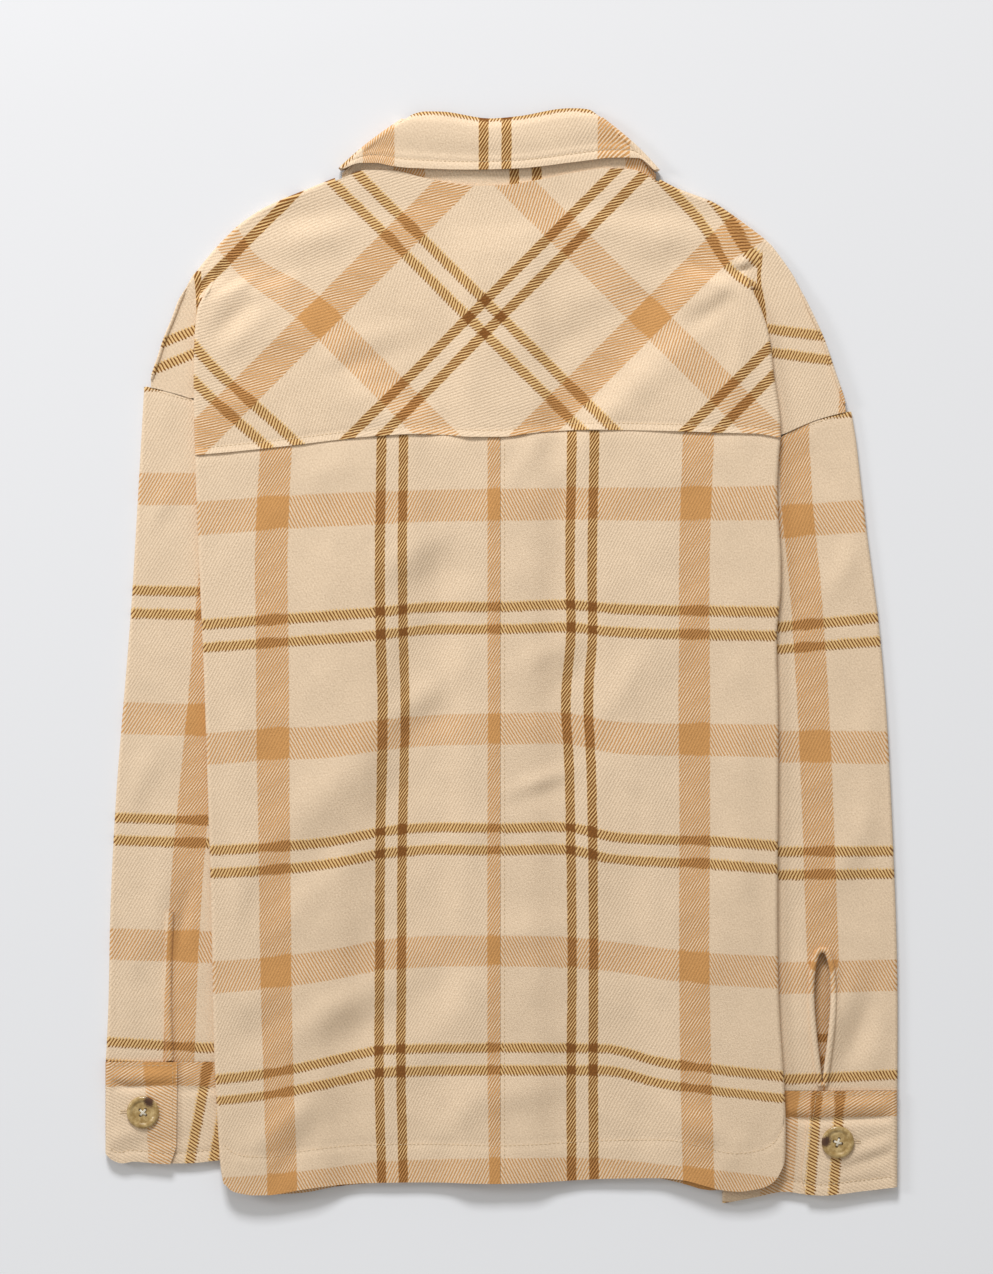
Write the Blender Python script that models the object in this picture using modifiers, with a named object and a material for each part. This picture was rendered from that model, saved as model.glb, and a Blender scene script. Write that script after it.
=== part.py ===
"""Flannel shirt jacket (shacket), buttoned and laid flat with its back up.

It lies on the floor z = 0, +Z up, +Y towards the collar. Left and right are the wearer's: left is -X.
Tables are in millimetres. "out" is the distance from the middle line towards one side.
From the floor up lie the sleeves (two walls each), the fronts (right under left) and the back.
"""

import math

import bmesh
import bpy
import numpy as np

MM = 0.001
SIDES = {"left": -1, "right": 1}

# Cloth and the gaps between pieces
CLOTH = 1.6
CUFF_CLOTH = 2.0
LEAF_CLOTH = 2.2
BINDING_CLOTH = 1.2
HEM_CLOTH = 2.6
HEM_DEPTH = 27
GAP = 0.3
HALF_GAP = GAP / 2
CURVED_GAP = 1.2
SHOULDER_GAP = 2.6

# Heights of the middle of each wall
FLOOR_WALL = CLOTH / 2
UPPER_WALL = 4.2
OVER_SLEEVE = 5.8
FOLD_RADIUS = 1.9
YOKE_WALL = FLOOR_WALL + 2 * FOLD_RADIUS
INNER_TURN = (FLOOR_WALL + OVER_SLEEVE - YOKE_WALL) / 2
INSET = CLOTH / 2 + FOLD_RADIUS
SLEEVE_FOLD = (UPPER_WALL - FLOOR_WALL) / 2
SLEEVE_INSET = CLOTH / 2 + SLEEVE_FOLD
BUTTON_RIDGE_OVER = 3.3
BUTTON_RIDGE_UNDER = 5.25
BUTTON_RIDGE_BACK = 4.8
NECK_RISE_FRONT = 2.5
NECK_RISE_BACK = 1.4
# The cloth on the collar: reach below the neck line, its run, limit to the side and that run
NECK_UNDER = (46, 24, 147.5, 29.5)
NECK_EDGE = (75, 60, 150, 40)
NECK_SIDE_SHARE = 0.6
NECK_BACK_SHARE = 0.56
RIDGE_BACK_TOP_Y = 325
RIDGE_BACK_RUN = 60
FRONT_RISE_POWER = 1.4
FOLDS_CALM = 22

# How far the cloth turns under, and how wide the rises are
UNDER_FOLD = 3.0
SIDE_SEAM = 9.5
HALF_BODY = 200
TIP_INSIDE = 6
NECK_START = 3
SLEEVE_RISE = 40
RISE_AHEAD = 14
SLEEVE_CALM = 16
SLEEVE_END_CALM = 26
UNDER_GAP = 0.42
RIDGE_HALF = 16
RIDGE_RISE = 34
LAP_HALF = 15
CENTRE_SEAM_X = -1.1

# Shoulder outline from the neck to the end of the armhole: out, y
SHOULDER = {
    "left": [(117.9, 339.4), (140.6, 330.2), (169.7, 317.4), (184.6, 307.4), (201.6, 291.1), (215.8, 274.1),
             (227.9, 259.2), (236.4, 239.3), (243.5, 221.5), (249.2, 203.1), (253.8, 191.7)],
    "right": [(111.5, 338.7), (127.8, 330.2), (147.7, 323.1), (171.1, 307.4), (189.6, 292.5), (204.5, 275.5),
              (214.4, 259.2), (222.9, 242.1), (230.0, 226.5), (236.4, 207.3), (243.5, 188.2), (247.8, 174.0)],
}
# Side fold of the body from the shoulder to the hem: y, out
BODY_EDGE = {
    "left": [(288.3, 203.8), (267, 207.3), (247.8, 215.1), (227.9, 217.6), (207.3, 218.3), (142, 217.3),
             (-17, 210.9), (-178.2, 205.9), (-303.9, 202.7), (-347.2, 199.8), (-372, 197.4)],
    "right": [(305.3, 174.7), (271.2, 171.1), (253.5, 179.6), (229.3, 188.2), (198.8, 192.4), (156.2, 197.4),
              (131.4, 195.3), (51.8, 197.4), (15.6, 194.5), (-20.6, 195.3), (-231.5, 196), (-333, 200.9),
              (-355.7, 200.2)],
}
SHOULDER_TOP = {side: BODY_EDGE[side][0][1] for side in SIDES}
# The pinch where the side fold starts, how far above it the rise begins, and the runs of rise and tuck
PINCH_Y = {"left": 267, "right": 271}
PINCH_AHEAD = 6
PINCH_RISE = 22
PINCH_TUCK = 18
PINCH_SPREAD = 1.8
# Armhole seam on the visible part of the shoulder: out, y
ARMHOLE = {
    "left": [(200, 176), (219.4, 182.5), (235, 186.7), (253.8, 191.7)],
    "right": [(186, 152), (197.4, 156.2), (208.7, 161.2), (217.3, 165.4), (228.6, 169), (239.3, 171.8),
              (247.8, 174)],
}
ARMHOLE_STEP = 14
BODY_EDGE_AT_ARMHOLE = {"left": 217.6, "right": 197.4}
# Top of the sleeve, the armhole seam and its hidden course under the body: out, y
SLEEVE_TOP = {
    "left": [(75, 135), (150, 150), (207, 163), (213, 176), (219, 182.2), (235, 186.6), (253.8, 191.6)],
    "right": [(75, 118), (140, 128), (187, 137), (193, 150), (199, 156.6), (208.7, 161.1), (217.3, 165.3),
              (228.6, 168.9), (239.3, 171.7), (247.8, 173.9)],
}
# Outer fold of the sleeve: y, out
SLEEVE_OUTER = {
    "left": [(191.7, 253.8), (134.9, 257), (39.8, 262.7), (-116.4, 274.8), (-173.2, 277.6), (-259.9, 279.7),
             (-289, 281.2)],
    "right": [(174, 247.8), (156.9, 250.6), (126.4, 254.2), (96.6, 257.7), (25.6, 267), (-137.7, 277.6),
              (-231.5, 280.5), (-310, 280.5)],
}
# Inner fold of the sleeve, hidden under the body: y, out
SLEEVE_INNER = {
    "left": [(150, 75), (118, 76), (39.8, 98), (-173, 137), (-290, 153)],
    "right": [(150, 75), (110, 76), (25.6, 100), (-173, 139), (-310, 155)],
}
# Inner limit of the part of the body that lies raised over the sleeve: y, out
RAISED_FROM = {
    "left": [(300, 190), (262, 182), (230, 165), (190, 125), (160, 80), (135, 72), (118, 73), (39.8, 96),
             (-173, 135), (-290, 151), (-400, 154)],
    "right": [(300, 165), (262, 158), (230, 148), (190, 115), (150, 78), (118, 72), (110, 73), (25.6, 98),
              (-173, 137), (-310, 153), (-400, 155)],
}
CUFF_SEAM_Y = {"left": -287.6, "right": -308.1}
# Cuff: lower edge as out, y
CUFF_BOTTOM = {
    "left": [(150, -357), (200, -357.5), (230, -360), (262, -358), (276.9, -357), (281.2, -351)],
    "right": [(156.2, -387.7), (165, -387.6), (183.2, -382.7), (208, -379.9), (214.4, -381.3), (256.3, -379.1),
              (279.7, -376.3)],
}
CUFF_OUTER = {"left": 281.2, "right": 280.3}
CUFF_WIDTH = 124
# End of the upper lap of the cuff at its top and bottom, and where the lower lap ends: out
CUFF_LAP = {"left": (230.0, 231.0), "right": (224.4, 214.4)}
CUFF_UNDERLAP = 262
CUFF_CORNER = 4
CUFF_TURN_ANGLES = (-60, -30, 0, 30, 60, 90)
CUFF_FLOOR = CUFF_CLOTH / 2
CUFF_LOWER_LAP = 3.6
CUFF_UPPER_LAP = 5.9

# Seams and edges of the body: x, y
YOKE_SEAM = [(-216.6, 142), (-184.6, 144.8), (-139.9, 149.8), (-104.4, 154.1), (-58.2, 156.9), (-1.4, 154.8),
             (27.7, 158.3), (115, 159), (158.3, 157.6), (187.4, 156.2), (196.7, 154.1)]
HEM = [(-197.4, -372), (-191, -378.4), (-186, -379.9), (-163.3, -381.3), (-142.7, -377.7), (-126.4, -375.6),
       (-58.2, -373), (0, -373.5), (98, -370), (125, -370.5), (147, -375.6), (159, -378.4), (177.5, -377.7),
       (189.6, -373.5), (196.7, -365.7), (200.2, -355.7)]
NECK_BACK = [(-115.5, 339), (-100, 344), (-80, 344.5), (-53.3, 338.7), (-25.6, 333.7), (0, 333.7), (19.9, 336.5),
             (56.1, 343.6), (80.9, 346), (97, 344), (109, 339)]
NECK_HALF = {"left": 115.5, "right": 109}
NECK_SIDE_Y = 339
NECK_DROP = 77

# Collar: half width of the leaf at its fold and at its edge, and both lines as share of that width, y
LEAF_HALF = {"left": (72, 116.4), "right": (72, 112.2)}
LEAF_FOLD = [(-1, 380), (-0.9, 384.1), (-0.7, 385.5), (-0.1, 380.6), (0.15, 382), (0.75, 387.7), (0.92, 386.2),
             (1, 381)]
LEAF_EDGE = [(-1, 345), (-0.93, 348.2), (-0.62, 345.8), (-0.15, 344.4), (0.18, 345.8), (0.5, 350), (0.8, 352.9),
             (0.93, 351), (1, 344)]
LEAF_TOP = 7.8
COLLAR_DROP = 75
COLLAR_POINT = 25
COLLAR_FRONT_OUT = 6
LEAF_BULGE = 2.4
STAND_TOP = 5.6
STAND_FLOOR = 3.3
STAND_MARGIN = 4.5
STAND_START = 0.12
STAND_TUCK = 2.5
STAND_FRONT_TUCK = 2

# Largest folds of the back and the yoke: x, y, angle of the crest in degrees, half length, half width, height
FOLDS = [
    (19, 132, 35, 28, 9, -0.8),
    (-66, -55, 70, 40, 10, 1.2),
    (-80, -150, 88, 90, 12, 0.9),
    (-108, -95, -20, 34, 9, 1.0),
    (28, -86, 15, 36, 10, 1.1),
    (62, -180, 86, 110, 13, 0.8),
    (-179, 228, 40, 30, 12, -0.8),
    (-150, 196, -35, 40, 10, 0.9),
    (150, 240, -30, 34, 10, -0.8),
    (128, 296, -45, 32, 9, 0.9),
    (-170, -365, 88, 34, 11, 1.2),
    (-134, -368, 84, 30, 10, -0.8),
    (136, -366, 92, 32, 10, 1.2),
    (172, -360, 80, 28, 9, -0.7),
    (-150, 60, 84, 90, 12, 0.8),
    (120, 40, 96, 80, 12, 0.9),
]
# Largest folds of the sleeves: side, out, y, angle, half length, half width, height
SLEEVE_FOLDS = [
    ("left", 240, 120, 60, 30, 9, 0.8),
    ("left", 248, -40, -50, 34, 9, 1.0),
    ("left", 240, -160, 75, 40, 10, 0.8),
    ("right", 232, 90, -60, 30, 9, 0.9),
    ("right", 240, -60, 55, 34, 10, 1.0),
    ("right", 250, -190, 80, 36, 9, 0.8),
]

# Slits above the cuffs: the middle line, top and bottom, and the half width of the opening
SLITS = {
    "left": {"out": 235.4, "top": -184, "bottom": -285, "half": 0.8, "rim": 2.6},
    "right": {"out": 227, "top": -210.4, "bottom": -301.5, "half": 6.0, "rim": 3.8},
}
SLIT_POINTS = 14
SLIT_FULLNESS = 0.6
SLIT_CUT_MARGIN = 0.9
SLIT_CUT_FROM = 2.6
SLIT_CUT_DEPTH = 6
BINDING_INNER = 0.2
BINDING_BOW = 1.5
BINDING_ENDS = (3, 0.8)

# Buttons
BUTTON_RADIUS = 11.5
BUTTON_RIM = 3.0
BUTTON_WELL = 1.9
# From the well over the rim to the back: share of the radius, height
BUTTON_PROFILE = [(0.62, BUTTON_WELL), (0.74, BUTTON_RIM), (0.9, BUTTON_RIM), (1, 1.65), (0.86, 0)]
BUTTON_HOLE = 1.1
BUTTON_HOLE_PITCH = 3.1
BUTTON_SEGMENTS = 16
CUFF_BUTTONS = {"left": (254.2, -323.1), "right": (237.8, -344.3)}
FRONT_BUTTONS = 6
FRONT_BUTTON_TOP_Y = 228
FRONT_BUTTON_STEP = 103

# Grid sizes
YOKE_ROWS = 10
NECK_CELLS = 5
SHOULDER_CELLS = 4
WING_CELLS = 4
BACK_ROWS = 20
BACK_CELLS = 10
EDGE_COLUMNS = (-10, 1.5)
TOP_BLEND = 4
WING_START = 1.5
FRONT_CELLS = 9
FRONT_WING_CELLS = 4
FRONT_ROWS_ABOVE = 5
FRONT_ROWS_BELOW = 12
COLLAR_ROWS = 4
COLLAR_BACK_CELLS = 6
COLLAR_FRONT_CELLS = 5
SLEEVE_ROWS = 15
HIDDEN_CELLS = 3
SHOWN_CELLS = 4
CUFF_ROWS = 4
CUFF_LAP_CELLS = 5
CUFF_CELLS = 4
# Columns of the front beside the buttons, as distance from the middle
FRONT_COLUMNS = (17, 34, 52)
UNDER_COLUMNS = (0, 0.4, 0.8, 1)
BINDING_ROWS = 8
ROLL_ANGLES = (45, 0, -45, -90)
# Last row of the yoke that reaches the armhole
WING_ROWS = {"left": 7, "right": YOKE_ROWS}


# Shapes of curves

def smooth(t):
    t = min(max(t, 0.0), 1.0)
    return t * t * (3 - 2 * t)


def lerp(a, b, t):
    return a + (b - a) * t


def follow(table, place):
    """Value at a place on a smooth curve through (place, value) rows."""
    rows = sorted(table)
    places = np.array([row[0] for row in rows], float)
    values = np.array([row[1] for row in rows], float)
    slopes = np.gradient(values, places)
    i = int(np.clip(np.searchsorted(places, place) - 1, 0, len(rows) - 2))
    span = places[i + 1] - places[i]
    t = min(max((place - places[i]) / span, 0.0), 1.0)
    rise = t * t * (3 - 2 * t)
    return float(values[i] * (1 - rise) + values[i + 1] * rise
                 + span * slopes[i] * t * (1 - t) ** 2 - span * slopes[i + 1] * t * t * (1 - t))


def straight(table, place):
    """Value at a place on straight lines through (place, value) rows."""
    rows = sorted(table)
    return float(np.interp(place, [row[0] for row in rows], [row[1] for row in rows]))


def flipped(table):
    return [(b, a) for a, b in table]


def shoulder_point(side, out=None, y=None, inset=INSET):
    """Point of the shoulder outline moved inwards, and the outward direction there."""
    step = 2.0
    table = SHOULDER[side]
    if y is None:
        y = follow(table, out)
        before = np.array([out - step, follow(table, out - step)])
        after = np.array([out + step, follow(table, out + step)])
    else:
        out = follow(flipped(table), y)
        before = np.array([follow(flipped(table), y + step), y + step])
        after = np.array([follow(flipped(table), y - step), y - step])
    along = (after - before) / np.linalg.norm(after - before)
    normal = np.array([-along[1], along[0]])
    return np.array([out, y]) - inset * normal, normal


# Heights of the layers

def over_sleeve(side, out, y):
    """1 where the body lies on the sleeve, 0 where it lies on the floor."""
    inner = follow(RAISED_FROM[side], y)
    rise = smooth((out - inner + SLEEVE_RISE + RISE_AHEAD) / SLEEVE_RISE)
    return rise * smooth((PINCH_Y[side] + PINCH_AHEAD - y) / PINCH_RISE)


def ridge(x):
    return 1 - smooth((abs(x) - RIDGE_HALF) / RIDGE_RISE)


def neck_rise(x, y):
    """1 where the cloth lies on the collar stand, falling to 0 below it and to the side."""
    below = front_neck_y(x) - y
    reach, run, side_limit, side_run = NECK_UNDER
    at_side = 1 if abs(x) < NECK_HALF["left"] else NECK_SIDE_SHARE
    return at_side * smooth((reach - below) / run) * smooth((side_limit - abs(x)) / side_run)


def front_neck_y(x):
    share = min(abs(x) / NECK_HALF["left"], 1.0)
    return NECK_SIDE_Y - NECK_DROP * math.sqrt(1 - share * share)


def neck_edge_rise(x, y):
    """1 at the back neck seam, which lies on the collar stand, falling to 0 below it."""
    below = follow(NECK_BACK, x) - y
    reach, run, side_limit, side_run = NECK_EDGE
    return smooth((reach - below) / run) * smooth((side_limit - abs(x)) / side_run)


def folds(table, x, y):
    total = 0.0
    for fx, fy, angle, length, width, height in table:
        c, s = math.cos(math.radians(angle)), math.sin(math.radians(angle))
        along = (x - fx) * c + (y - fy) * s
        across = (y - fy) * c - (x - fx) * s
        total += height * math.exp(-((along / length) ** 2) - (across / width) ** 2)
    return total


def front_height(side, out, y, top_layer):
    x = SIDES[side] * out
    button = BUTTON_RIDGE_UNDER if top_layer else BUTTON_RIDGE_OVER
    sleeve_rise = OVER_SLEEVE * over_sleeve(side, out, y) ** FRONT_RISE_POWER
    rises = (sleeve_rise, button * ridge(x), NECK_RISE_FRONT * neck_rise(x, y))
    return FLOOR_WALL + max(rises)


def back_height(side, out, y, edge):
    x = SIDES[side] * out
    button = BUTTON_RIDGE_BACK * ridge(x) * smooth((RIDGE_BACK_TOP_Y - y) / RIDGE_BACK_RUN)
    neck = max(NECK_RISE_FRONT * NECK_BACK_SHARE * neck_rise(x, y), NECK_RISE_BACK * neck_edge_rise(x, y))
    rises = (OVER_SLEEVE * over_sleeve(side, out, y), button, neck)
    calm = smooth((edge - INSET - out) / FOLDS_CALM)
    return YOKE_WALL + max(rises) + calm * folds(FOLDS, x, y)


# Meshes

def material(name, color, roughness):
    made = bpy.data.materials.new(name)
    made.use_nodes = True
    shader = made.node_tree.nodes["Principled BSDF"]
    shader.inputs["Base Color"].default_value = (*color, 1.0)
    shader.inputs["Roughness"].default_value = roughness
    shader.inputs["Metallic"].default_value = 0.0
    return made


def cloth(name, grid, wall, finish, keep=None, hem=None, closed=False, even=True):
    """A wall of even thickness on a grid of middle points. keep(row, column) says which cells it has."""
    mesh = bpy.data.meshes.new(name)
    piece = bpy.data.objects.new(name, mesh)
    PARTS.objects.link(piece)
    bm = bmesh.new()
    points = [[bm.verts.new([v * MM for v in point]) for point in row] for row in grid]
    columns = len(grid[0])
    for r in range(len(grid) - 1):
        for c in range(columns if closed else columns - 1):
            if keep is None or keep(r, c):
                d = (c + 1) % columns
                bm.faces.new((points[r][c], points[r][d], points[r + 1][d], points[r + 1][c]))
    bmesh.ops.delete(bm, geom=[v for v in bm.verts if not v.link_faces], context="VERTS")
    bmesh.ops.recalc_face_normals(bm, faces=bm.faces)
    bm.to_mesh(mesh)
    bm.free()
    solid = piece.modifiers.new("Wall", "SOLIDIFY")
    solid.thickness = wall * MM
    solid.offset = 0
    solid.use_even_offset = even
    if hem:
        add_hem(piece, solid, wall, hem)
    mesh.materials.append(finish)
    mesh.shade_smooth()
    mesh.set_sharp_from_angle(angle=math.radians(50))
    return piece


def add_hem(piece, solid, wall, is_hem):
    """Doubles the wall where the cloth is turned up."""
    group = piece.vertex_groups.new(name="hem")
    for vertex in piece.data.vertices:
        if is_hem(vertex.co.x / MM, vertex.co.y / MM):
            group.add([vertex.index], 1.0, "REPLACE")
    solid.thickness = HEM_CLOTH * MM
    solid.vertex_group = "hem"
    solid.thickness_vertex_group = wall / HEM_CLOTH


def roll(centre, direction, radius, middle_z, angles):
    """Points round a fold: centre is (out, y), direction points outwards."""
    points = []
    for angle in angles:
        reach = radius * math.cos(math.radians(angle))
        z = middle_z + radius * math.sin(math.radians(angle))
        points.append((centre[0] + direction[0] * reach, centre[1] + direction[1] * reach, z))
    return points


def mirror_out(side, points):
    return [(SIDES[side] * out, y, z) for out, y, z in points]


# Back panels

def back_panel(side, finish):
    sign = SIDES[side]
    grid = []
    for r in range(BACK_ROWS + 1):
        share = r / BACK_ROWS
        row = []
        for c in range(BACK_CELLS + 1):
            u = c / BACK_CELLS
            guess = lerp(follow(YOKE_SEAM, sign * HALF_BODY * u), follow(HEM, sign * HALF_BODY * u), share)
            edge = follow(BODY_EDGE[side], guess)
            out = lerp(sign * CENTRE_SEAM_X + HALF_GAP, edge - INSET, u)
            y = lerp(follow(YOKE_SEAM, sign * out) - HALF_GAP, follow(HEM, sign * out), share)
            row.append((out, y, back_height(side, out, y, edge)))
        out, y, z = row[-1]
        row += roll((out, y), (1, 0), FOLD_RADIUS, z - FOLD_RADIUS, ROLL_ANGLES)
        row.append((out - SIDE_SEAM + INSET, y, z - 2 * FOLD_RADIUS))
        grid.append(mirror_out(side, row))

    def in_hem(x, y):
        return y < follow(HEM, x) + HEM_DEPTH

    cloth(f"back_{side}", grid, CLOTH, finish, hem=in_hem)


# Yoke

def fold_points(side, y, edge):
    """The fold of the yoke over its own shoulder part: from the body's edge down to the lower layer."""
    top = YOKE_WALL + OVER_SLEEVE
    turns = [math.radians(a) for a in ROLL_ANGLES]
    folded = [(FOLD_RADIUS * math.cos(a), top - FOLD_RADIUS + FOLD_RADIUS * math.sin(a)) for a in turns]
    lower = top - 2 * FOLD_RADIUS
    folded += [(-UNDER_FOLD, lower), (-UNDER_FOLD - INNER_TURN, lower - INNER_TURN),
               (-UNDER_FOLD, lower - 2 * INNER_TURN)]
    risen = smooth((PINCH_Y[side] + PINCH_AHEAD - y) / PINCH_RISE)
    tucked = smooth((PINCH_Y[side] - PINCH_AHEAD - y) / PINCH_TUCK)
    drop_from = shoulder_point(side, out=SHOULDER_TOP[side])[0][1]
    points = []
    for k, (shift, z) in enumerate(folded, 1):
        drop = shoulder_point(side, out=SHOULDER_TOP[side] + PINCH_SPREAD * k)[0][1] - drop_from
        out = edge - INSET + lerp(PINCH_SPREAD * k, shift, tucked)
        points.append((out, y + (1 - tucked) * drop, lerp(YOKE_WALL, z, risen)))
    return points


def yoke_half(side):
    """Rows of the yoke from the middle outwards, with the shoulder roll above them."""
    sign = SIDES[side]
    neck, top_out = NECK_HALF[side], SHOULDER_TOP[side]
    places = [neck * c / NECK_CELLS for c in range(NECK_CELLS + 1)]
    places += [lerp(neck + NECK_START, top_out, c / SHOULDER_CELLS) for c in range(1, SHOULDER_CELLS + 1)]
    body_cells = len(places) - 1
    tops, normals = [], []
    for c, place in enumerate(places):
        if c < NECK_CELLS:
            tops.append(np.array([place, follow(NECK_BACK, sign * place) - HALF_GAP]))
            normals.append(None)
        else:
            point, normal = shoulder_point(side, out=max(place, neck + NECK_START))
            tops.append(point)
            normals.append(normal)
    rows = []
    for r in range(YOKE_ROWS + 1):
        share = r / YOKE_ROWS
        guess = lerp(tops[-1][1], follow(YOKE_SEAM, sign * HALF_BODY), share)
        edge = follow(BODY_EDGE[side], guess)
        seam_edge = edge - INSET
        row = []
        for c in range(body_cells + 1):
            stretch = lerp(1.0, seam_edge / tops[-1][0], share)
            out = tops[c][0] * stretch if share else tops[c][0]
            seam = follow(YOKE_SEAM, sign * out) + HALF_GAP
            y = lerp(tops[c][1], seam, share)
            row.append((out, y, back_height(side, out, y, edge)))
        out, y, z = row[-1]
        blend = min(share * TOP_BLEND, 1)
        row[-1] = (lerp(tops[-1][0], seam_edge, blend), y, lerp(YOKE_WALL, z, blend))
        row += fold_points(side, y, row[-1][0] + INSET)
        rows.append(row)
    add_wing(side, rows)
    for row in rows[WING_ROWS[side] + 1:]:
        k = body_cells + len(ROLL_ANGLES) + 1
        out, y, z = row[k]
        row[k] = (row[body_cells][0] - SIDE_SEAM + INSET, y, z)
    return shoulder_roll(side, rows, normals), body_cells


def add_wing(side, rows):
    """The part of the yoke outside the fold, down to the armhole seam."""
    last = WING_ROWS[side]
    tip_y = SHOULDER[side][-1][1] + TIP_INSIDE
    inner_top, inner_end = np.array(rows[0][-1][:2]), np.array(rows[last][-1][:2])
    tip_out = shoulder_point(side, y=tip_y)[0][0]
    inner = [np.array(row[-1][:2]) for row in rows]
    for a in range(1, WING_CELLS + 1):
        u = a / WING_CELLS
        top = shoulder_point(side, y=lerp(inner_top[1] + WING_START, tip_y, u))[0]
        low_out = lerp(inner_end[0], tip_out, u)
        low = np.array([low_out, straight(ARMHOLE[side], low_out) + HALF_GAP])
        for r, row in enumerate(rows):
            share = min(r / last, 1.0)
            base = inner[r] - lerp(inner_top, inner_end, share) if r <= last else np.zeros(2)
            point = lerp(top, low, share) + (1 - u) * base
            row.append((point[0], point[1], YOKE_WALL))


def shoulder_roll(side, rows, normals):
    """Rows above the first one, which turn the yoke over the shoulder line."""
    first = rows[0]
    above = [[] for _ in ROLL_ANGLES]
    for c, (out, y, z) in enumerate(first):
        if c < len(normals) and normals[c] is None:
            for line in above:
                line.append((out, y, z))
            continue
        if c < len(normals):
            normal = normals[c]
        else:
            ahead, behind = first[min(c + 1, len(first) - 1)], first[c - 1]
            along = np.array([ahead[0] - behind[0], ahead[1] - behind[1]])
            along = along / np.linalg.norm(along)
            normal = np.array([-along[1], along[0]])
        floor = front_height(side, out, y, False)
        radius = (z - floor) / 2
        for line, point in zip(above, roll((out, y), normal, radius, floor + radius, ROLL_ANGLES)):
            line.append(point)
    return above[::-1] + rows


def yoke(finish):
    left, cells = yoke_half("left")
    right, _ = yoke_half("right")
    grid = []
    for left_row, right_row in zip(left, right):
        grid.append(mirror_out("left", left_row)[:0:-1] + mirror_out("right", right_row))
    middle = len(left[0]) - 1
    extra = len(ROLL_ANGLES)

    def keep(r, c):
        side = "left" if c < middle else "right"
        from_middle = middle - 1 - c if c < middle else c - middle
        if r < extra:
            return from_middle >= NECK_CELLS
        if r - extra < WING_ROWS[side]:
            return True
        return from_middle < cells + len(ROLL_ANGLES) + 1

    cloth("yoke", grid, CLOTH, finish, keep=keep, even=False)


# Fronts

def front_shares(outer):
    """Columns of a front as shares of its width, close together where it rises over the buttons."""
    near = [(place + LAP_HALF) / (outer + LAP_HALF) for place in (-LAP_HALF, *FRONT_COLUMNS)]
    far = FRONT_CELLS - len(near) + 1
    return near + [lerp(near[-1], 1, c / far) for c in range(1, far + 1)]


def front_panel(side, finish):
    sign = SIDES[side]
    top_layer = side == "left"
    armhole_y = straight(ARMHOLE[side], BODY_EDGE_AT_ARMHOLE[side])
    tip_y = SHOULDER[side][-1][1] + TIP_INSIDE
    start, _ = shoulder_point(side, out=SHOULDER_TOP[side] - SIDE_SEAM, inset=INSET + SHOULDER_GAP)
    shares = front_shares(start[0])
    rows = []
    for r in range(FRONT_ROWS_ABOVE + FRONT_ROWS_BELOW + 1):
        row = []
        for c, u in enumerate(shares):
            top_out = lerp(-LAP_HALF, start[0], u)
            top_y = front_top_y(side, top_out)
            if r <= FRONT_ROWS_ABOVE:
                share = r / FRONT_ROWS_ABOVE
                y = lerp(top_y, armhole_y + HALF_GAP, share)
                edge = follow(BODY_EDGE[side], lerp(start[1], armhole_y, share))
            else:
                share = (r - FRONT_ROWS_ABOVE - 1) / (FRONT_ROWS_BELOW - 1)
                y = lerp(armhole_y - ARMHOLE_STEP, follow(HEM, sign * HALF_BODY * u), share)
                edge = follow(BODY_EDGE[side], y)
            outer = lerp(start[0], edge - SIDE_SEAM - CURVED_GAP, min(r / 2, 1))
            out = lerp(-LAP_HALF, outer, u)
            z = front_height(side, out, y, top_layer)
            if c == FRONT_CELLS and r <= FRONT_ROWS_ABOVE:
                z = FLOOR_WALL
            row.append((out, y, z))
        rows.append(row)
    first, last = np.array(rows[0][-1][:2]), np.array(rows[FRONT_ROWS_ABOVE][-1][:2])
    inner = [np.array(row[-1][:2]) for row in rows]
    tip_out = shoulder_point(side, y=tip_y, inset=INSET + SHOULDER_GAP)[0][0]
    for a in range(1, FRONT_WING_CELLS + 1):
        u = a / FRONT_WING_CELLS
        top = shoulder_point(side, y=lerp(first[1], tip_y, u), inset=INSET + SHOULDER_GAP)[0]
        low_out = lerp(last[0], tip_out, u)
        low = np.array([low_out, straight(ARMHOLE[side], low_out) + HALF_GAP])
        for r, row in enumerate(rows):
            share = min(r / FRONT_ROWS_ABOVE, 1.0)
            shift = inner[r] - lerp(first, last, share) if r <= FRONT_ROWS_ABOVE else np.zeros(2)
            point = lerp(top, low, share) + (1 - u) * shift
            row.append((point[0], point[1], FLOOR_WALL))

    def keep(r, c):
        return c < FRONT_CELLS or r < FRONT_ROWS_ABOVE

    grid = [mirror_out(side, row) for row in rows]
    cloth(f"front_{side}", grid, CLOTH, finish, keep=keep)


def front_top_y(side, out):
    if abs(out) < NECK_HALF[side]:
        return min(front_neck_y(SIDES[side] * out), follow(NECK_BACK, SIDES[side] * out)) - HALF_GAP
    guess = out
    for _ in range(4):
        place = max(guess, NECK_HALF[side] + NECK_START)
        point, _ = shoulder_point(side, out=place, inset=INSET + SHOULDER_GAP)
        guess += out - point[0]
    return point[1]


# Collar

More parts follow.
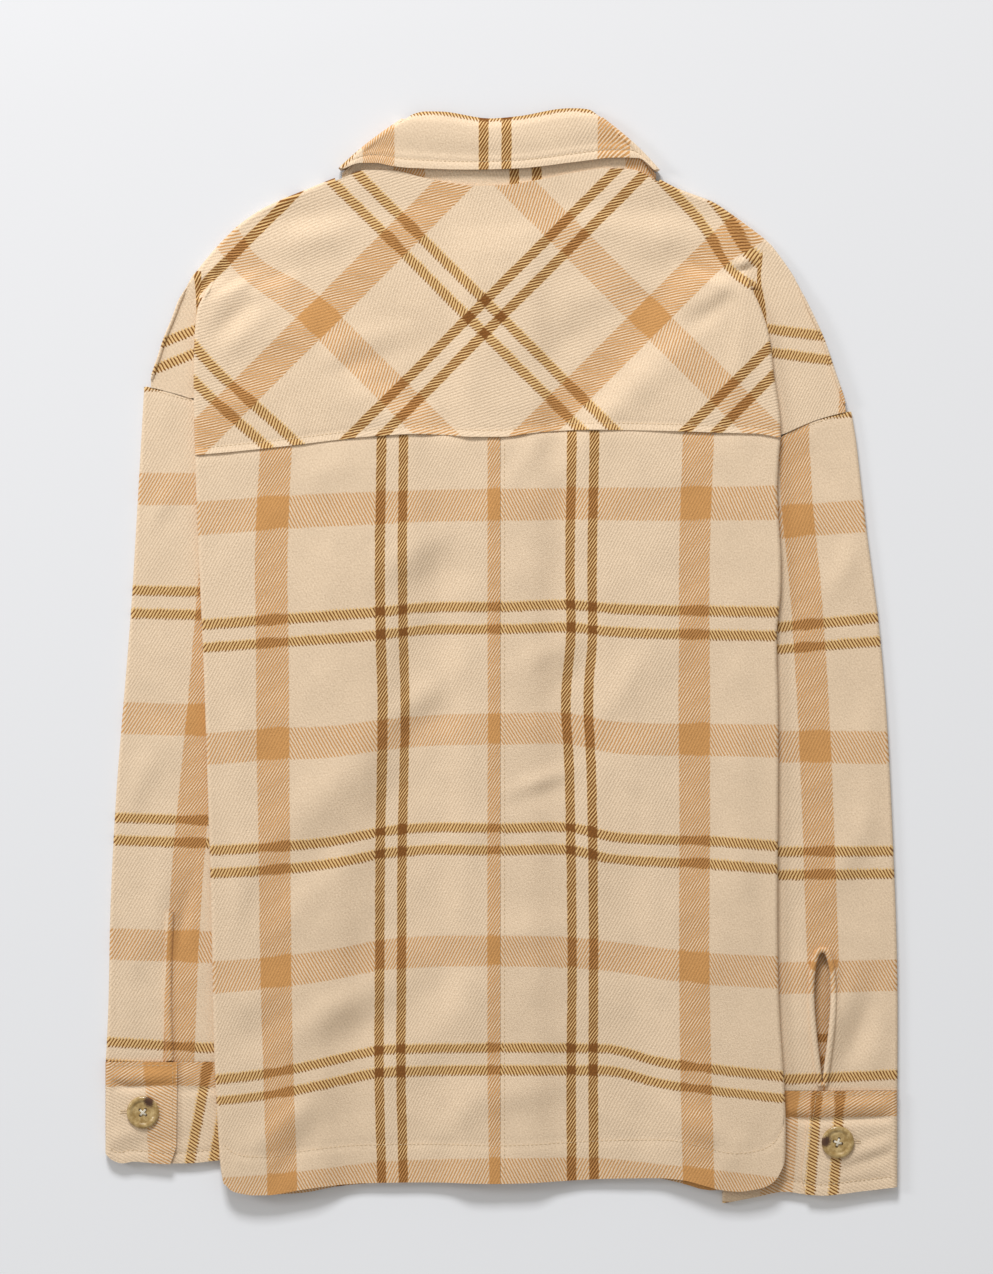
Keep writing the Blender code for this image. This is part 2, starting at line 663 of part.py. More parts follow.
def collar_ring(side, depth_line, half_line, top_z, floor_z, lower):
    """One half of a flattened ring, from the middle of the back round the side to the front edge."""
    radius = (top_z - floor_z) / 2
    grid = []
    for r in range(COLLAR_ROWS + 1):
        share = r / COLLAR_ROWS
        half = half_line(side, share)
        row = []
        for c in range(COLLAR_BACK_CELLS + 1):
            n = c / COLLAR_BACK_CELLS
            row.append((n * half, depth_line(side, n, share), top_z))
        out, y, _ = row[-1]
        row += roll((out, y), (1, 0), radius, top_z - radius, ROLL_ANGLES)
        for c in range(1, COLLAR_FRONT_CELLS + 1):
            n = 1 - c / COLLAR_FRONT_CELLS
            front_out = lerp(half, COLLAR_FRONT_OUT, 1 - n)
            row.append((front_out, lower(side, n, share, y), floor_z))
        grid.append(mirror_out(side, row))
    return grid


def leaf_half(side, share):
    fold, edge = LEAF_HALF[side]
    reach = lerp(fold, edge, share) + LEAF_BULGE * math.sin(math.pi * share)
    return reach - LEAF_CLOTH / 2 - (LEAF_TOP - LEAF_CLOTH / 2) / 2


def leaf_y(side, n, share):
    place = SIDES[side] * n
    return lerp(follow(LEAF_FOLD, place), follow(LEAF_EDGE, place), share)


def leaf_front_y(side, n, share, y):
    return y - (COLLAR_DROP + COLLAR_POINT * share) * (1 - n * n)


def stand_half(side, share):
    return leaf_half(side, lerp(STAND_START, 1, share)) - STAND_TUCK * (1 - share)


def stand_y(side, n, share):
    out = n * stand_half(side, 1.0)
    return lerp(leaf_y(side, n, 0.0) - STAND_MARGIN, follow(NECK_BACK, SIDES[side] * out) + CURVED_GAP, share)


def stand_front_y(side, n, share, y):
    out = lerp(stand_half(side, share), COLLAR_FRONT_OUT, 1 - n)
    return lerp(leaf_front_y(side, n, 0.0, y) - STAND_FRONT_TUCK, front_neck_y(out) + CURVED_GAP, share)


def join_halves(left, right):
    return [left_row[:0:-1] + right_row for left_row, right_row in zip(left, right)]


def collar(finish):
    leaf = [collar_ring(side, leaf_y, leaf_half, LEAF_TOP, LEAF_CLOTH / 2, leaf_front_y) for side in SIDES]
    cloth("collar_leaf", join_halves(*leaf), LEAF_CLOTH, finish)
    stand = [collar_ring(side, stand_y, stand_half, STAND_TOP, STAND_FLOOR, stand_front_y) for side in SIDES]
    cloth("collar_stand", join_halves(*stand), CLOTH, finish)


# Sleeves

def sleeve_places(side, y):
    """Columns of the sleeve from its inner fold to its outer fold, two of them at the edge of the body."""
    inner = follow(SLEEVE_INNER[side], y) + SLEEVE_INSET
    outer = follow(SLEEVE_OUTER[side], y) - SLEEVE_INSET
    edge = follow(BODY_EDGE[side], y)
    hidden = [lerp(inner, edge + EDGE_COLUMNS[0], u / HIDDEN_CELLS) for u in range(HIDDEN_CELLS + 1)]
    shown = [lerp(edge + EDGE_COLUMNS[1], outer, u / SHOWN_CELLS) for u in range(SHOWN_CELLS + 1)]
    return hidden + shown


def sleeve_height(side, out, y):
    inside = smooth((out - follow(BODY_EDGE[side], y) - 2) / SLEEVE_CALM)
    ends = smooth((y - CUFF_SEAM_Y[side] - 4) / SLEEVE_END_CALM)
    table = [row[1:] for row in SLEEVE_FOLDS if row[0] == side]
    outer = smooth((follow(SLEEVE_OUTER[side], y) - SLEEVE_INSET - out) / SLEEVE_CALM)
    return UPPER_WALL + folds(table, out, y) * inside * ends * outer


def sleeve(side, finish):
    bottom = CUFF_SEAM_Y[side] + HALF_GAP
    top_y = SLEEVE_TOP[side][-1][1]
    upper = []
    for r in range(SLEEVE_ROWS + 1):
        share = r / SLEEVE_ROWS
        row = []
        for out in sleeve_places(side, lerp(top_y, bottom, share)):
            y = lerp(straight(SLEEVE_TOP[side], out) - HALF_GAP, bottom, share)
            row.append((out, y, sleeve_height(side, out, y)))
        middle = (UPPER_WALL + FLOOR_WALL) / 2
        inner_roll = roll(row[0][:2], (-1, 0), SLEEVE_FOLD, middle, ROLL_ANGLES)[::-1]
        outer_roll = roll(row[-1][:2], (1, 0), SLEEVE_FOLD, middle, ROLL_ANGLES)
        upper.append(mirror_out(side, inner_roll + row + outer_roll))
    piece = cloth(f"sleeve_{side}_upper", upper, CLOTH, finish)
    cut(piece, slit_cutter(side))

    under = []
    for r in range(SLEEVE_ROWS + 1):
        share = r / SLEEVE_ROWS
        places = sleeve_places(side, lerp(top_y, bottom, share))
        row = []
        for u in UNDER_COLUMNS:
            out = lerp(places[0] + UNDER_GAP, places[-1] - UNDER_GAP, u)
            row.append((out, lerp(straight(SLEEVE_TOP[side], out) - HALF_GAP, bottom, share), FLOOR_WALL))
        under.append(mirror_out(side, row))
    cloth(f"sleeve_{side}_under", under, CLOTH, finish)


def almond(side, margin):
    """Left and right lip of the slit, as rows of (out of the left lip, out of the right lip, y)."""
    slit = SLITS[side]
    rows = []
    for i in range(SLIT_POINTS + 1):
        t = i / SLIT_POINTS
        half = slit["half"] * math.sin(math.pi * t ** SLIT_FULLNESS) + margin
        y = lerp(slit["top"] + margin, slit["bottom"] - margin, t)
        rows.append((slit["out"] - half, slit["out"] + half, y))
    return rows


def slit_cutter(side):
    rows = almond(side, SLIT_CUT_MARGIN)
    mesh = bpy.data.meshes.new(f"slit_cutter_{side}")
    cutter = bpy.data.objects.new(f"slit_cutter_{side}", mesh)
    CUTTERS.objects.link(cutter)
    outline = [(low, y) for low, _, y in rows] + [(high, y) for _, high, y in reversed(rows)]
    bm = bmesh.new()
    base = [bm.verts.new((SIDES[side] * out * MM, y * MM, SLIT_CUT_FROM * MM)) for out, y in outline]
    face = bm.faces.new(base)
    made = bmesh.ops.extrude_face_region(bm, geom=[face])
    lifted = [v for v in made["geom"] if isinstance(v, bmesh.types.BMVert)]
    bmesh.ops.translate(bm, verts=lifted, vec=(0, 0, SLIT_CUT_DEPTH * MM))
    bmesh.ops.recalc_face_normals(bm, faces=bm.faces)
    bm.to_mesh(mesh)
    bm.free()
    return cutter


def cut(piece, cutter):
    cutter.hide_render = True
    cutter.display_type = "WIRE"
    boolean = piece.modifiers.new("Cut", "BOOLEAN")
    boolean.operation = "DIFFERENCE"
    boolean.object = cutter


def slit_binding(side, finish):
    """A flat rim of cloth on the sleeve round the slit. The closed slit has one lip over the other."""
    slit = SLITS[side]
    if side == "right":
        inner, outer = almond(side, BINDING_INNER), almond(side, slit["rim"])
        loops = []
        for rows in (inner, outer):
            loops.append([(low, y) for low, _, y in rows] + [(high, y) for _, high, y in reversed(rows)])
        grid = [[binding_point(side, out, y) for out, y in loop] for loop in loops]
        cloth(f"slit_binding_{side}", grid, BINDING_CLOTH, finish, closed=True)
        return
    grid = []
    for i in range(BINDING_ROWS + 1):
        share = i / BINDING_ROWS
        y = lerp(slit["top"] + BINDING_ENDS[0], CUFF_SEAM_Y[side] + BINDING_ENDS[1], share)
        bow = BINDING_BOW * math.sin(math.pi * share)
        shifts = (-slit["rim"], 0, slit["rim"])
        grid.append([binding_point(side, slit["out"] + bow + shift, y) for shift in shifts])
    cloth(f"slit_binding_{side}", grid, BINDING_CLOTH, finish)


def binding_point(side, out, y):
    z = sleeve_height(side, out, y) + (CLOTH + BINDING_CLOTH) / 2 + GAP
    return (SIDES[side] * out, y, z)


# Cuffs

def cuff(side, finish):
    outer = CUFF_OUTER[side] - CUFF_CLOTH / 2
    inner = CUFF_OUTER[side] - CUFF_WIDTH + CUFF_CLOTH / 2
    small = (CUFF_LOWER_LAP - CUFF_FLOOR) / 2
    large = (CUFF_UPPER_LAP - CUFF_FLOOR) / 2
    grid = []
    for r in range(CUFF_ROWS + 1):
        share = r / CUFF_ROWS
        end = lerp(*CUFF_LAP[side], share) + (CUFF_CORNER if share == 1 else 0)
        lap_shares = [u / CUFF_LAP_CELLS for u in range(CUFF_LAP_CELLS + 1)]
        lower = [(lerp(CUFF_UNDERLAP, inner + small, u), CUFF_LOWER_LAP) for u in lap_shares]
        inner_turn = roll((inner + small, 0), (-1, 0), small, CUFF_FLOOR + small, ROLL_ANGLES)
        turn = [(out, z) for out, _, z in inner_turn]
        cells = range(1, CUFF_CELLS + 1)
        floor = [(lerp(inner + small, outer - large, u / CUFF_CELLS), CUFF_FLOOR) for u in cells]
        outer_turn = roll((outer - large, 0), (1, 0), large, CUFF_FLOOR + large, CUFF_TURN_ANGLES)
        rise = [(out, z) for out, _, z in outer_turn]
        upper = [(lerp(outer - large, end, u / CUFF_CELLS), CUFF_UPPER_LAP) for u in cells]
        row = []
        for out, z in lower + turn + floor + rise + upper:
            y = lerp(CUFF_SEAM_Y[side] - HALF_GAP, follow(CUFF_BOTTOM[side], out), share)
            row.append((out, y, z))
        grid.append(mirror_out(side, row))
    cloth(f"cuff_{side}", grid, CUFF_CLOTH, finish)


# Buttons

def button_mesh(finish):
    """Turned button with a raised rim and a sunk well."""
    bm = bmesh.new()
    rings = []
    for share, z in BUTTON_PROFILE:
        radius = share * BUTTON_RADIUS
        ring = []
        for i in range(BUTTON_SEGMENTS):
            angle = 2 * math.pi * i / BUTTON_SEGMENTS
            ring.append(bm.verts.new((radius * math.cos(angle) * MM, radius * math.sin(angle) * MM, z * MM)))
        rings.append(ring)
    for above, below in zip(rings, rings[1:]):
        for i in range(BUTTON_SEGMENTS):
            j = (i + 1) % BUTTON_SEGMENTS
            bm.faces.new((above[i], below[i], below[j], above[j]))
    bm.faces.new(rings[0])
    bm.faces.new(rings[-1][::-1])
    bmesh.ops.recalc_face_normals(bm, faces=bm.faces)
    mesh = bpy.data.meshes.new("button")
    bm.to_mesh(mesh)
    bm.free()
    mesh.materials.append(finish)
    return mesh


def hole_cutter(name, x, y, z):
    bm = bmesh.new()
    for dx in (-BUTTON_HOLE_PITCH / 2, BUTTON_HOLE_PITCH / 2):
        for dy in (-BUTTON_HOLE_PITCH / 2, BUTTON_HOLE_PITCH / 2):
            made = bmesh.ops.create_cone(bm, cap_ends=True, segments=6, radius1=BUTTON_HOLE * MM,
                                         radius2=BUTTON_HOLE * MM, depth=2 * BUTTON_RIM * MM)
            bmesh.ops.translate(bm, verts=made["verts"], vec=(dx * MM, dy * MM, BUTTON_RIM / 2 * MM))
    mesh = bpy.data.meshes.new(name)
    bm.to_mesh(mesh)
    bm.free()
    cutter = bpy.data.objects.new(name, mesh)
    cutter.location = (x * MM, y * MM, z * MM)
    CUTTERS.objects.link(cutter)
    return cutter


def button(name, mesh, x, y, z, face_down=False):
    piece = bpy.data.objects.new(name, mesh)
    piece.location = (x * MM, y * MM, (z + (BUTTON_RIM if face_down else 0)) * MM)
    if face_down:
        piece.rotation_euler = (math.pi, 0, 0)
    PARTS.objects.link(piece)
    cut(piece, hole_cutter(f"holes_{name}", x, y, z))


def buttons(finish):
    mesh = button_mesh(finish)
    for side, (out, y) in CUFF_BUTTONS.items():
        z = CUFF_UPPER_LAP + CUFF_CLOTH / 2 + GAP
        button(f"button_cuff_{side}", mesh, SIDES[side] * out, y, z)
    for i in range(FRONT_BUTTONS):
        y = FRONT_BUTTON_TOP_Y - i * FRONT_BUTTON_STEP
        button(f"button_front_{i + 1}", mesh, 0, y, 0, face_down=True)


for old in list(bpy.data.objects):
    bpy.data.objects.remove(old, do_unlink=True)

PARTS = bpy.data.collections.new("shacket")
CUTTERS = bpy.data.collections.new("cutters")
bpy.context.scene.collection.children.link(PARTS)
bpy.context.scene.collection.children.link(CUTTERS)

FLANNEL = material("flannel", (0.78, 0.63, 0.43), 0.95)
BIAS = material("flannel_bias", (0.74, 0.58, 0.38), 0.95)
HORN = material("horn", (0.42, 0.33, 0.13), 0.3)

for side in SIDES:
    back_panel(side, FLANNEL)
    front_panel(side, FLANNEL)
    sleeve(side, FLANNEL)
    slit_binding(side, FLANNEL)
    cuff(side, FLANNEL)
yoke(BIAS)
collar(FLANNEL)
buttons(HORN)
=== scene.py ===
"""Looks of the flannel shirt jacket that lies flat with its back up.

Tables are in millimetres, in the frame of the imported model: +Y towards the collar, left is -X.
"out" is the distance from the middle line towards one side. Stripes are read from the photograph as
lines, in its pixels, and photo_mm turns those into millimetres.
"""

import math

import bmesh
import bpy
import numpy as np
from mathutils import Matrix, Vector
from mathutils.bvhtree import BVHTree


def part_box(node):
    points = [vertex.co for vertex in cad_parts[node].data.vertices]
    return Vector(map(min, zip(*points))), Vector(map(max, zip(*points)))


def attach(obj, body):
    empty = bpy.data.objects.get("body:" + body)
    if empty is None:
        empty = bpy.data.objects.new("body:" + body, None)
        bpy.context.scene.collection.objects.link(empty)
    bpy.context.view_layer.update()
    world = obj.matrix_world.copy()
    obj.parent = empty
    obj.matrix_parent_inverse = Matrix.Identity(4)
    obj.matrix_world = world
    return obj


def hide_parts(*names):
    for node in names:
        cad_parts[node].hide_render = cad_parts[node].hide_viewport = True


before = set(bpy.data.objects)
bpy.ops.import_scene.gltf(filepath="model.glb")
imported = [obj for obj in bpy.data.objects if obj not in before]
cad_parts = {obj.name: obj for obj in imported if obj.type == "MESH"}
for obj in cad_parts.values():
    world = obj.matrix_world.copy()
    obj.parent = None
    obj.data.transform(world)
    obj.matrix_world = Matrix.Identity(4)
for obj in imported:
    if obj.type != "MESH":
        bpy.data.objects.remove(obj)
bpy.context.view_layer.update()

MM = 0.001
SIDES = {"left": -1, "right": 1}

# The photograph: millimetres a pixel, and the pixel at the model's origin
PIXEL = 0.71
PHOTO_ORIGIN = (502, 656)
PHOTO_SIZE = (993, 1274)
CAMERA_DISTANCE = 3.0

# Cloth and the gaps between pieces
CLOTH = 1.6
CUFF_CLOTH = 2.0
LEAF_CLOTH = 2.2
BINDING_WALL = 0.7
GAP = 0.3
HALF_GAP = GAP / 2
CURVED_GAP = 1.2
SHOULDER_GAP = 2.6

# Heights of the middle of each wall
FLOOR_WALL = CLOTH / 2
UPPER_WALL = 4.2
OVER_SLEEVE = 5.8
FOLD_RADIUS = 1.9
YOKE_WALL = FLOOR_WALL + 2 * FOLD_RADIUS
INNER_TURN = (FLOOR_WALL + OVER_SLEEVE - YOKE_WALL) / 2
INSET = CLOTH / 2 + FOLD_RADIUS
SLEEVE_FOLD = (UPPER_WALL - FLOOR_WALL) / 2
SLEEVE_INSET = CLOTH / 2 + SLEEVE_FOLD
BUTTON_RIDGE_OVER = 3.3
BUTTON_RIDGE_UNDER = 5.25
BUTTON_RIDGE_BACK = 4.8
NECK_RISE_FRONT = 2.5
NECK_RISE_BACK = 1.4
# The cloth on the collar: reach below the neck line, its run, limit to the side and that run
NECK_UNDER = (46, 24, 147.5, 29.5)
NECK_EDGE = (75, 60, 150, 40)
NECK_SIDE_SHARE = 0.6
NECK_BACK_SHARE = 0.56
RIDGE_BACK_TOP_Y = 325
RIDGE_BACK_RUN = 60
FRONT_RISE_POWER = 1.4
FOLDS_CALM = 22

# How far the cloth turns under, and how wide the rises are
UNDER_FOLD = 3.0
SIDE_SEAM = 9.5
HALF_BODY = 200
TIP_INSIDE = 6
NECK_START = 3
SLEEVE_RISE = 40
RISE_AHEAD = 14
SLEEVE_CALM = 16
SLEEVE_END_CALM = 26
UNDER_GAP = 0.42
RIDGE_HALF = 16
RIDGE_RISE = 34
LAP_HALF = 15
CENTRE_SEAM_X = -1.1

# Shoulder outline from the neck to the end of the armhole: out, y
SHOULDER = {
    "left": [(117.9, 339.4), (140.6, 330.2), (169.7, 317.4), (184.6, 307.4), (201.6, 291.1), (215.8, 274.1),
             (227.9, 259.2), (236.4, 239.3), (243.5, 221.5), (249.2, 203.1), (253.8, 191.7)],
    "right": [(111.5, 338.7), (127.8, 330.2), (147.7, 323.1), (171.1, 307.4), (189.6, 292.5), (204.5, 275.5),
              (214.4, 259.2), (222.9, 242.1), (230.0, 226.5), (236.4, 207.3), (243.5, 188.2),
              (247.8, 174.0)],
}
# Side fold of the body from the shoulder to the hem: y, out
BODY_EDGE = {
    "left": [(288.3, 203.8), (267, 207.3), (247.8, 215.1), (227.9, 217.6), (207.3, 218.3), (142, 217.3),
             (-17, 210.9), (-178.2, 205.9), (-303.9, 202.7), (-347.2, 199.8), (-372, 197.4)],
    "right": [(305.3, 174.7), (271.2, 171.1), (253.5, 179.6), (229.3, 188.2), (198.8, 192.4), (156.2, 197.4),
              (131.4, 195.3), (51.8, 197.4), (15.6, 194.5), (-20.6, 195.3), (-231.5, 196), (-333, 200.9),
              (-355.7, 200.2)],
}
SHOULDER_TOP = {side: BODY_EDGE[side][0][1] for side in SIDES}
# The pinch where the side fold starts, how far above it the rise begins, and the runs of rise and tuck
PINCH_Y = {"left": 267, "right": 271}
PINCH_AHEAD = 6
PINCH_RISE = 16
PINCH_TUCK = 9
PINCH_SPREAD = 1.8
# Armhole seam on the visible part of the shoulder: out, y
ARMHOLE = {
    "left": [(200, 176), (219.4, 182.5), (235, 186.7), (253.8, 191.7)],
    "right": [(186, 152), (197.4, 156.2), (208.7, 161.2), (217.3, 165.4), (228.6, 169), (239.3, 171.8),
              (247.8, 174)],
}
ARMHOLE_STEP = 14
BODY_EDGE_AT_ARMHOLE = {"left": 217.6, "right": 197.4}
# Top of the sleeve, the armhole seam and its hidden course under the body: out, y
SLEEVE_TOP = {
    "left": [(75, 135), (150, 150), (207, 163), (213, 176), (219, 182.2), (235, 186.6), (253.8, 191.6)],
    "right": [(75, 118), (140, 128), (187, 137), (193, 150), (199, 156.6), (208.7, 161.1), (217.3, 165.3),
              (228.6, 168.9), (239.3, 171.7), (247.8, 173.9)],
}
# Outer fold of the sleeve: y, out
SLEEVE_OUTER = {
    "left": [(191.7, 253.8), (134.9, 257), (39.8, 262.7), (-116.4, 274.8), (-173.2, 277.6), (-259.9, 279.7),
             (-289, 281.2)],
    "right": [(174, 247.8), (156.9, 250.6), (126.4, 254.2), (96.6, 257.7), (25.6, 267), (-137.7, 277.6),
              (-231.5, 280.5), (-310, 280.5)],
}
# Inner fold of the sleeve, hidden under the body: y, out
SLEEVE_INNER = {
    "left": [(150, 75), (118, 76), (39.8, 98), (-173, 137), (-290, 153)],
    "right": [(150, 75), (110, 76), (25.6, 100), (-173, 139), (-310, 155)],
}
# Inner limit of the part of the body that lies raised over the sleeve: y, out
RAISED_FROM = {
    "left": [(300, 190), (262, 182), (230, 165), (190, 125), (160, 80), (135, 72), (118, 73), (39.8, 96),
             (-173, 135), (-290, 151), (-400, 154)],
    "right": [(300, 165), (262, 158), (230, 148), (190, 115), (150, 78), (118, 72), (110, 73), (25.6, 98),
              (-173, 137), (-310, 153), (-400, 155)],
}
CUFF_SEAM_Y = {"left": -287.6, "right": -308.1}
# Cuff: lower edge as out, y
CUFF_BOTTOM = {
    "left": [(150, -357), (200, -357.5), (230, -360), (262, -358), (276.9, -357), (281.2, -351)],
    "right": [(156.2, -387.7), (165, -387.6), (183.2, -382.7), (208, -379.9), (214.4, -381.3),
              (256.3, -379.1), (279.7, -376.3)],
}
CUFF_OUTER = {"left": 281.2, "right": 280.3}
CUFF_WIDTH = 124
# End of the upper lap of the cuff at its top and bottom, and where the lower lap ends: out
CUFF_LAP = {"left": (230.0, 231.0), "right": (219.5, 211.0)}
CUFF_UNDERLAP = 262
CUFF_CORNER = 4
CUFF_TURN_ANGLES = (-60, -30, 0, 30, 60, 90)
CUFF_FLOOR = CUFF_CLOTH / 2
CUFF_LOWER_LAP = 3.6
CUFF_UPPER_LAP = 5.9

# Seams and edges of the body: x, y
YOKE_SEAM = [(-216.6, 142), (-184.6, 144.8), (-139.9, 149.8), (-104.4, 154.1), (-58.2, 156.9), (-1.4, 154.8),
             (27.7, 158.3), (115, 159), (158.3, 157.6), (187.4, 156.2), (196.7, 154.1)]
HEM = [(-197.4, -372), (-191, -378.4), (-186, -379.9), (-163.3, -381.3), (-142.7, -377.7), (-126.4, -375.6),
       (-58.2, -373), (0, -373.5), (98, -370), (125, -370.5), (147, -375.6), (159, -378.4), (177.5, -377.7),
       (189.6, -373.5), (196.7, -365.7), (200.2, -355.7)]
NECK_BACK = [(-115.5, 339), (-100, 344), (-80, 344.5), (-53.3, 338.7), (-25.6, 333.7), (0, 333.7),
             (19.9, 336.5), (56.1, 343.6), (80.9, 346), (97, 344), (109, 339)]
NECK_HALF = {"left": 115.5, "right": 109}
NECK_SIDE_Y = 339
NECK_DROP = 77

# Collar: half width of the leaf at its fold and at its edge, and both lines as share of that width, y
LEAF_HALF = {"left": (72, 116.4), "right": (72, 112.2)}
LEAF_FOLD = [(-1, 380), (-0.9, 384.1), (-0.7, 385.5), (-0.1, 380.6), (0.15, 382), (0.75, 387.7),
             (0.92, 386.2), (1, 381)]
LEAF_EDGE = [(-1, 345), (-0.93, 348.2), (-0.62, 345.8), (-0.15, 344.4), (0.18, 345.8), (0.5, 350),
             (0.8, 352.9), (0.93, 351), (1, 344)]
LEAF_TOP = 7.8
COLLAR_DROP = 75
COLLAR_POINT = 25
COLLAR_FRONT_OUT = 6
LEAF_BULGE = 2.4
STAND_TOP = 5.6
STAND_FLOOR = 3.3
STAND_MARGIN = 4.5
STAND_START = 0.12
STAND_TUCK = 2.5
STAND_FRONT_TUCK = 2

# Folds, by the pixel of the photograph where each crest is:
# x, y, angle of the crest in degrees, half length, half width, height
FOLD_STRENGTH = 1.35
BACK_FOLDS = [
    (530, 450, 55, 26, 8, 1.2), (512, 462, 50, 26, 8, -0.8), (560, 470, 55, 30, 9, 0.6),
    (325, 470, 20, 22, 10, 0.9), (412, 553, 30, 30, 10, 1.1), (430, 578, 30, 30, 10, -0.6),
    (416, 700, 38, 28, 9, 1.5), (432, 722, 36, 28, 10, -0.9), (545, 655, 28, 28, 9, 1.0),
    (562, 684, 40, 26, 8, -0.8), (541, 780, 20, 20, 4.5, 1.3), (540, 796, 16, 26, 7, -0.7),
    (620, 690, 55, 32, 10, 1.0), (325, 795, 42, 56, 15, 1.8), (352, 832, 40, 50, 13, -1.0),
    (300, 905, 40, 34, 11, 1.0), (243, 880, 80, 40, 11, 1.1), (338, 1006, 30, 32, 11, 1.9),
    (352, 1034, 28, 32, 11, -1.1), (454, 1014, 50, 40, 14, 1.4), (436, 982, 50, 38, 13, -0.8),
    (520, 932, 10, 32, 12, 1.1), (605, 985, -62, 38, 11, 1.1), (592, 840, 80, 90, 26, 1.8),
    (246, 998, 20, 40, 14, 1.3), (252, 1034, 20, 36, 12, -0.8), (520, 1092, 15, 36, 12, 1.3),
    (455, 1120, 50, 32, 10, 1.0), (283, 1122, 40, 26, 9, 1.7), (300, 1148, 50, 24, 8, -1.0),
    (700, 1128, -30, 28, 10, 1.5), (668, 1112, 96, 36, 10, 1.0), (726, 1160, 60, 22, 8, 1.0),
    (455, 900, 88, 90, 16, 0.9), (235, 800, 88, 100, 11, 0.7), (740, 800, 92, 100, 13, 0.8),
    (330, 620, 84, 60, 14, 0.7), (655, 590, 96, 70, 15, 0.8), (720, 920, 80, 60, 14, 0.8),
    (385, 1090, 75, 40, 11, 0.8), (610, 1120, 110, 36, 11, 0.8),
]
YOKE_FOLDS = [
    (309, 216, 8, 32, 10, -1.3), (318, 238, 8, 36, 10, 1.0), (232, 319, 40, 26, 7, -1.4),
    (247, 333, 40, 32, 8, 1.3), (292, 331, 25, 30, 10, 0.9), (363, 341, 15, 36, 11, 1.0),
    (372, 360, 15, 32, 9, -0.8), (664, 212, -5, 42, 12, -1.4), (662, 236, -8, 42, 12, 1.0),
    (722, 291, 42, 26, 7, 1.7), (709, 312, 40, 24, 7, -1.6), (684, 322, 35, 28, 8, -0.9),
    (626, 396, 40, 42, 12, 1.3), (560, 350, 45, 30, 12, -0.7), (740, 352, 80, 36, 8, 1.1),
    (430, 400, -45, 42, 12, 0.9), (520, 240, 10, 38, 12, 0.9), (216, 312, 78, 22, 6, 1.4),
    (735, 262, 5, 9, 4, 1.5), (742, 272, 8, 10, 3, -1.6), (250, 400, 20, 40, 10, 0.7),
    (420, 205, 12, 30, 10, -0.8), (583, 205, -12, 28, 10, -0.7),
]
PINCH_FOLDS = [
    (743, 263, 20, 8, 3.2, 1.6), (741, 271, 12, 8, 2.2, -1.4), (757, 282, -65, 12, 3, -0.8),
    (214, 269, 48, 12, 3.5, 1.4), (203, 288, 65, 10, 2.8, -1.0),
]
SLEEVE_FOLDS = [
    (821, 1005, 92, 45, 13, 1.6),
    (184, 915, 78, 22, 5, -1.6), (160, 900, 80, 34, 8, 1.2), (135, 790, 60, 32, 9, 1.0),
    (120, 620, 70, 42, 9, 1.0), (150, 520, 50, 26, 8, 1.1), (205, 980, 100, 42, 7, 1.1),
    (140, 700, -40, 30, 9, -0.9), (130, 980, 80, 36, 9, 0.8), (128, 440, 40, 24, 8, 0.8),
    (858, 1033, 70, 30, 7, -1.6), (842, 1008, 68, 34, 8, 1.2), (884, 1040, 75, 32, 8, 1.1),
    (850, 560, 60, 38, 9, 1.1), (872, 760, 85, 52, 9, 0.9), (845, 860, 60, 36, 9, 1.0),
    (820, 470, -50, 30, 9, -0.9), (860, 660, -60, 34, 9, 0.9), (800, 980, 88, 46, 8, 0.9),
]
CUFF_FOLDS = [
    (142, 1086, 3, 22, 2.6, -1.3), (120, 1083, -14, 12, 2.4, -0.8), (145, 1075, 2, 30, 4.5, 1.0),
    (200, 1089, 4, 18, 2.8, -0.8), (120, 1135, 20, 22, 6, 0.6), (150, 1143, 8, 26, 5, -0.5),
    (860, 1118, 2, 34, 2.6, -1.6), (800, 1118, -6, 14, 2.6, -1.4), (850, 1105, 2, 44, 5, 1.2),
    (870, 1158, 18, 26, 4, -0.7), (866, 1150, 20, 28, 5, 0.7), (878, 1135, 14, 20, 4, -0.5),
]

# Slits above the cuffs: the middle line, top and bottom, and the half width of the opening
SLITS = {
    "left": {"out": 235.4, "top": -184, "bottom": -285, "half": 0.8, "rim": 2.6},
    "right": {"out": 227, "top": -210.4, "bottom": -301.5, "half": 6.0, "rim": 3.8},
}
SLIT_POINTS = 40
SLIT_FULLNESS = 0.6
SLIT_CUT_MARGIN = 0.9
SLIT_CUT_FROM = 2.6
SLIT_CUT_DEPTH = 6

# Buttons
BUTTON_RADIUS = 11.5
CUFF_BUTTONS = {"left": (254.2, -323.1), "right": (237.8, -344.3)}

# Grid sizes: cells of the coarse form, and how many fine cells each is split into
YOKE_ROWS = 14
NECK_CELLS = 6
SHOULDER_CELLS = 5
WING_CELLS = 5
BACK_ROWS = 30
BACK_CELLS = 14
BACK_SPREAD = 1.5
CORNER_POWER = 24
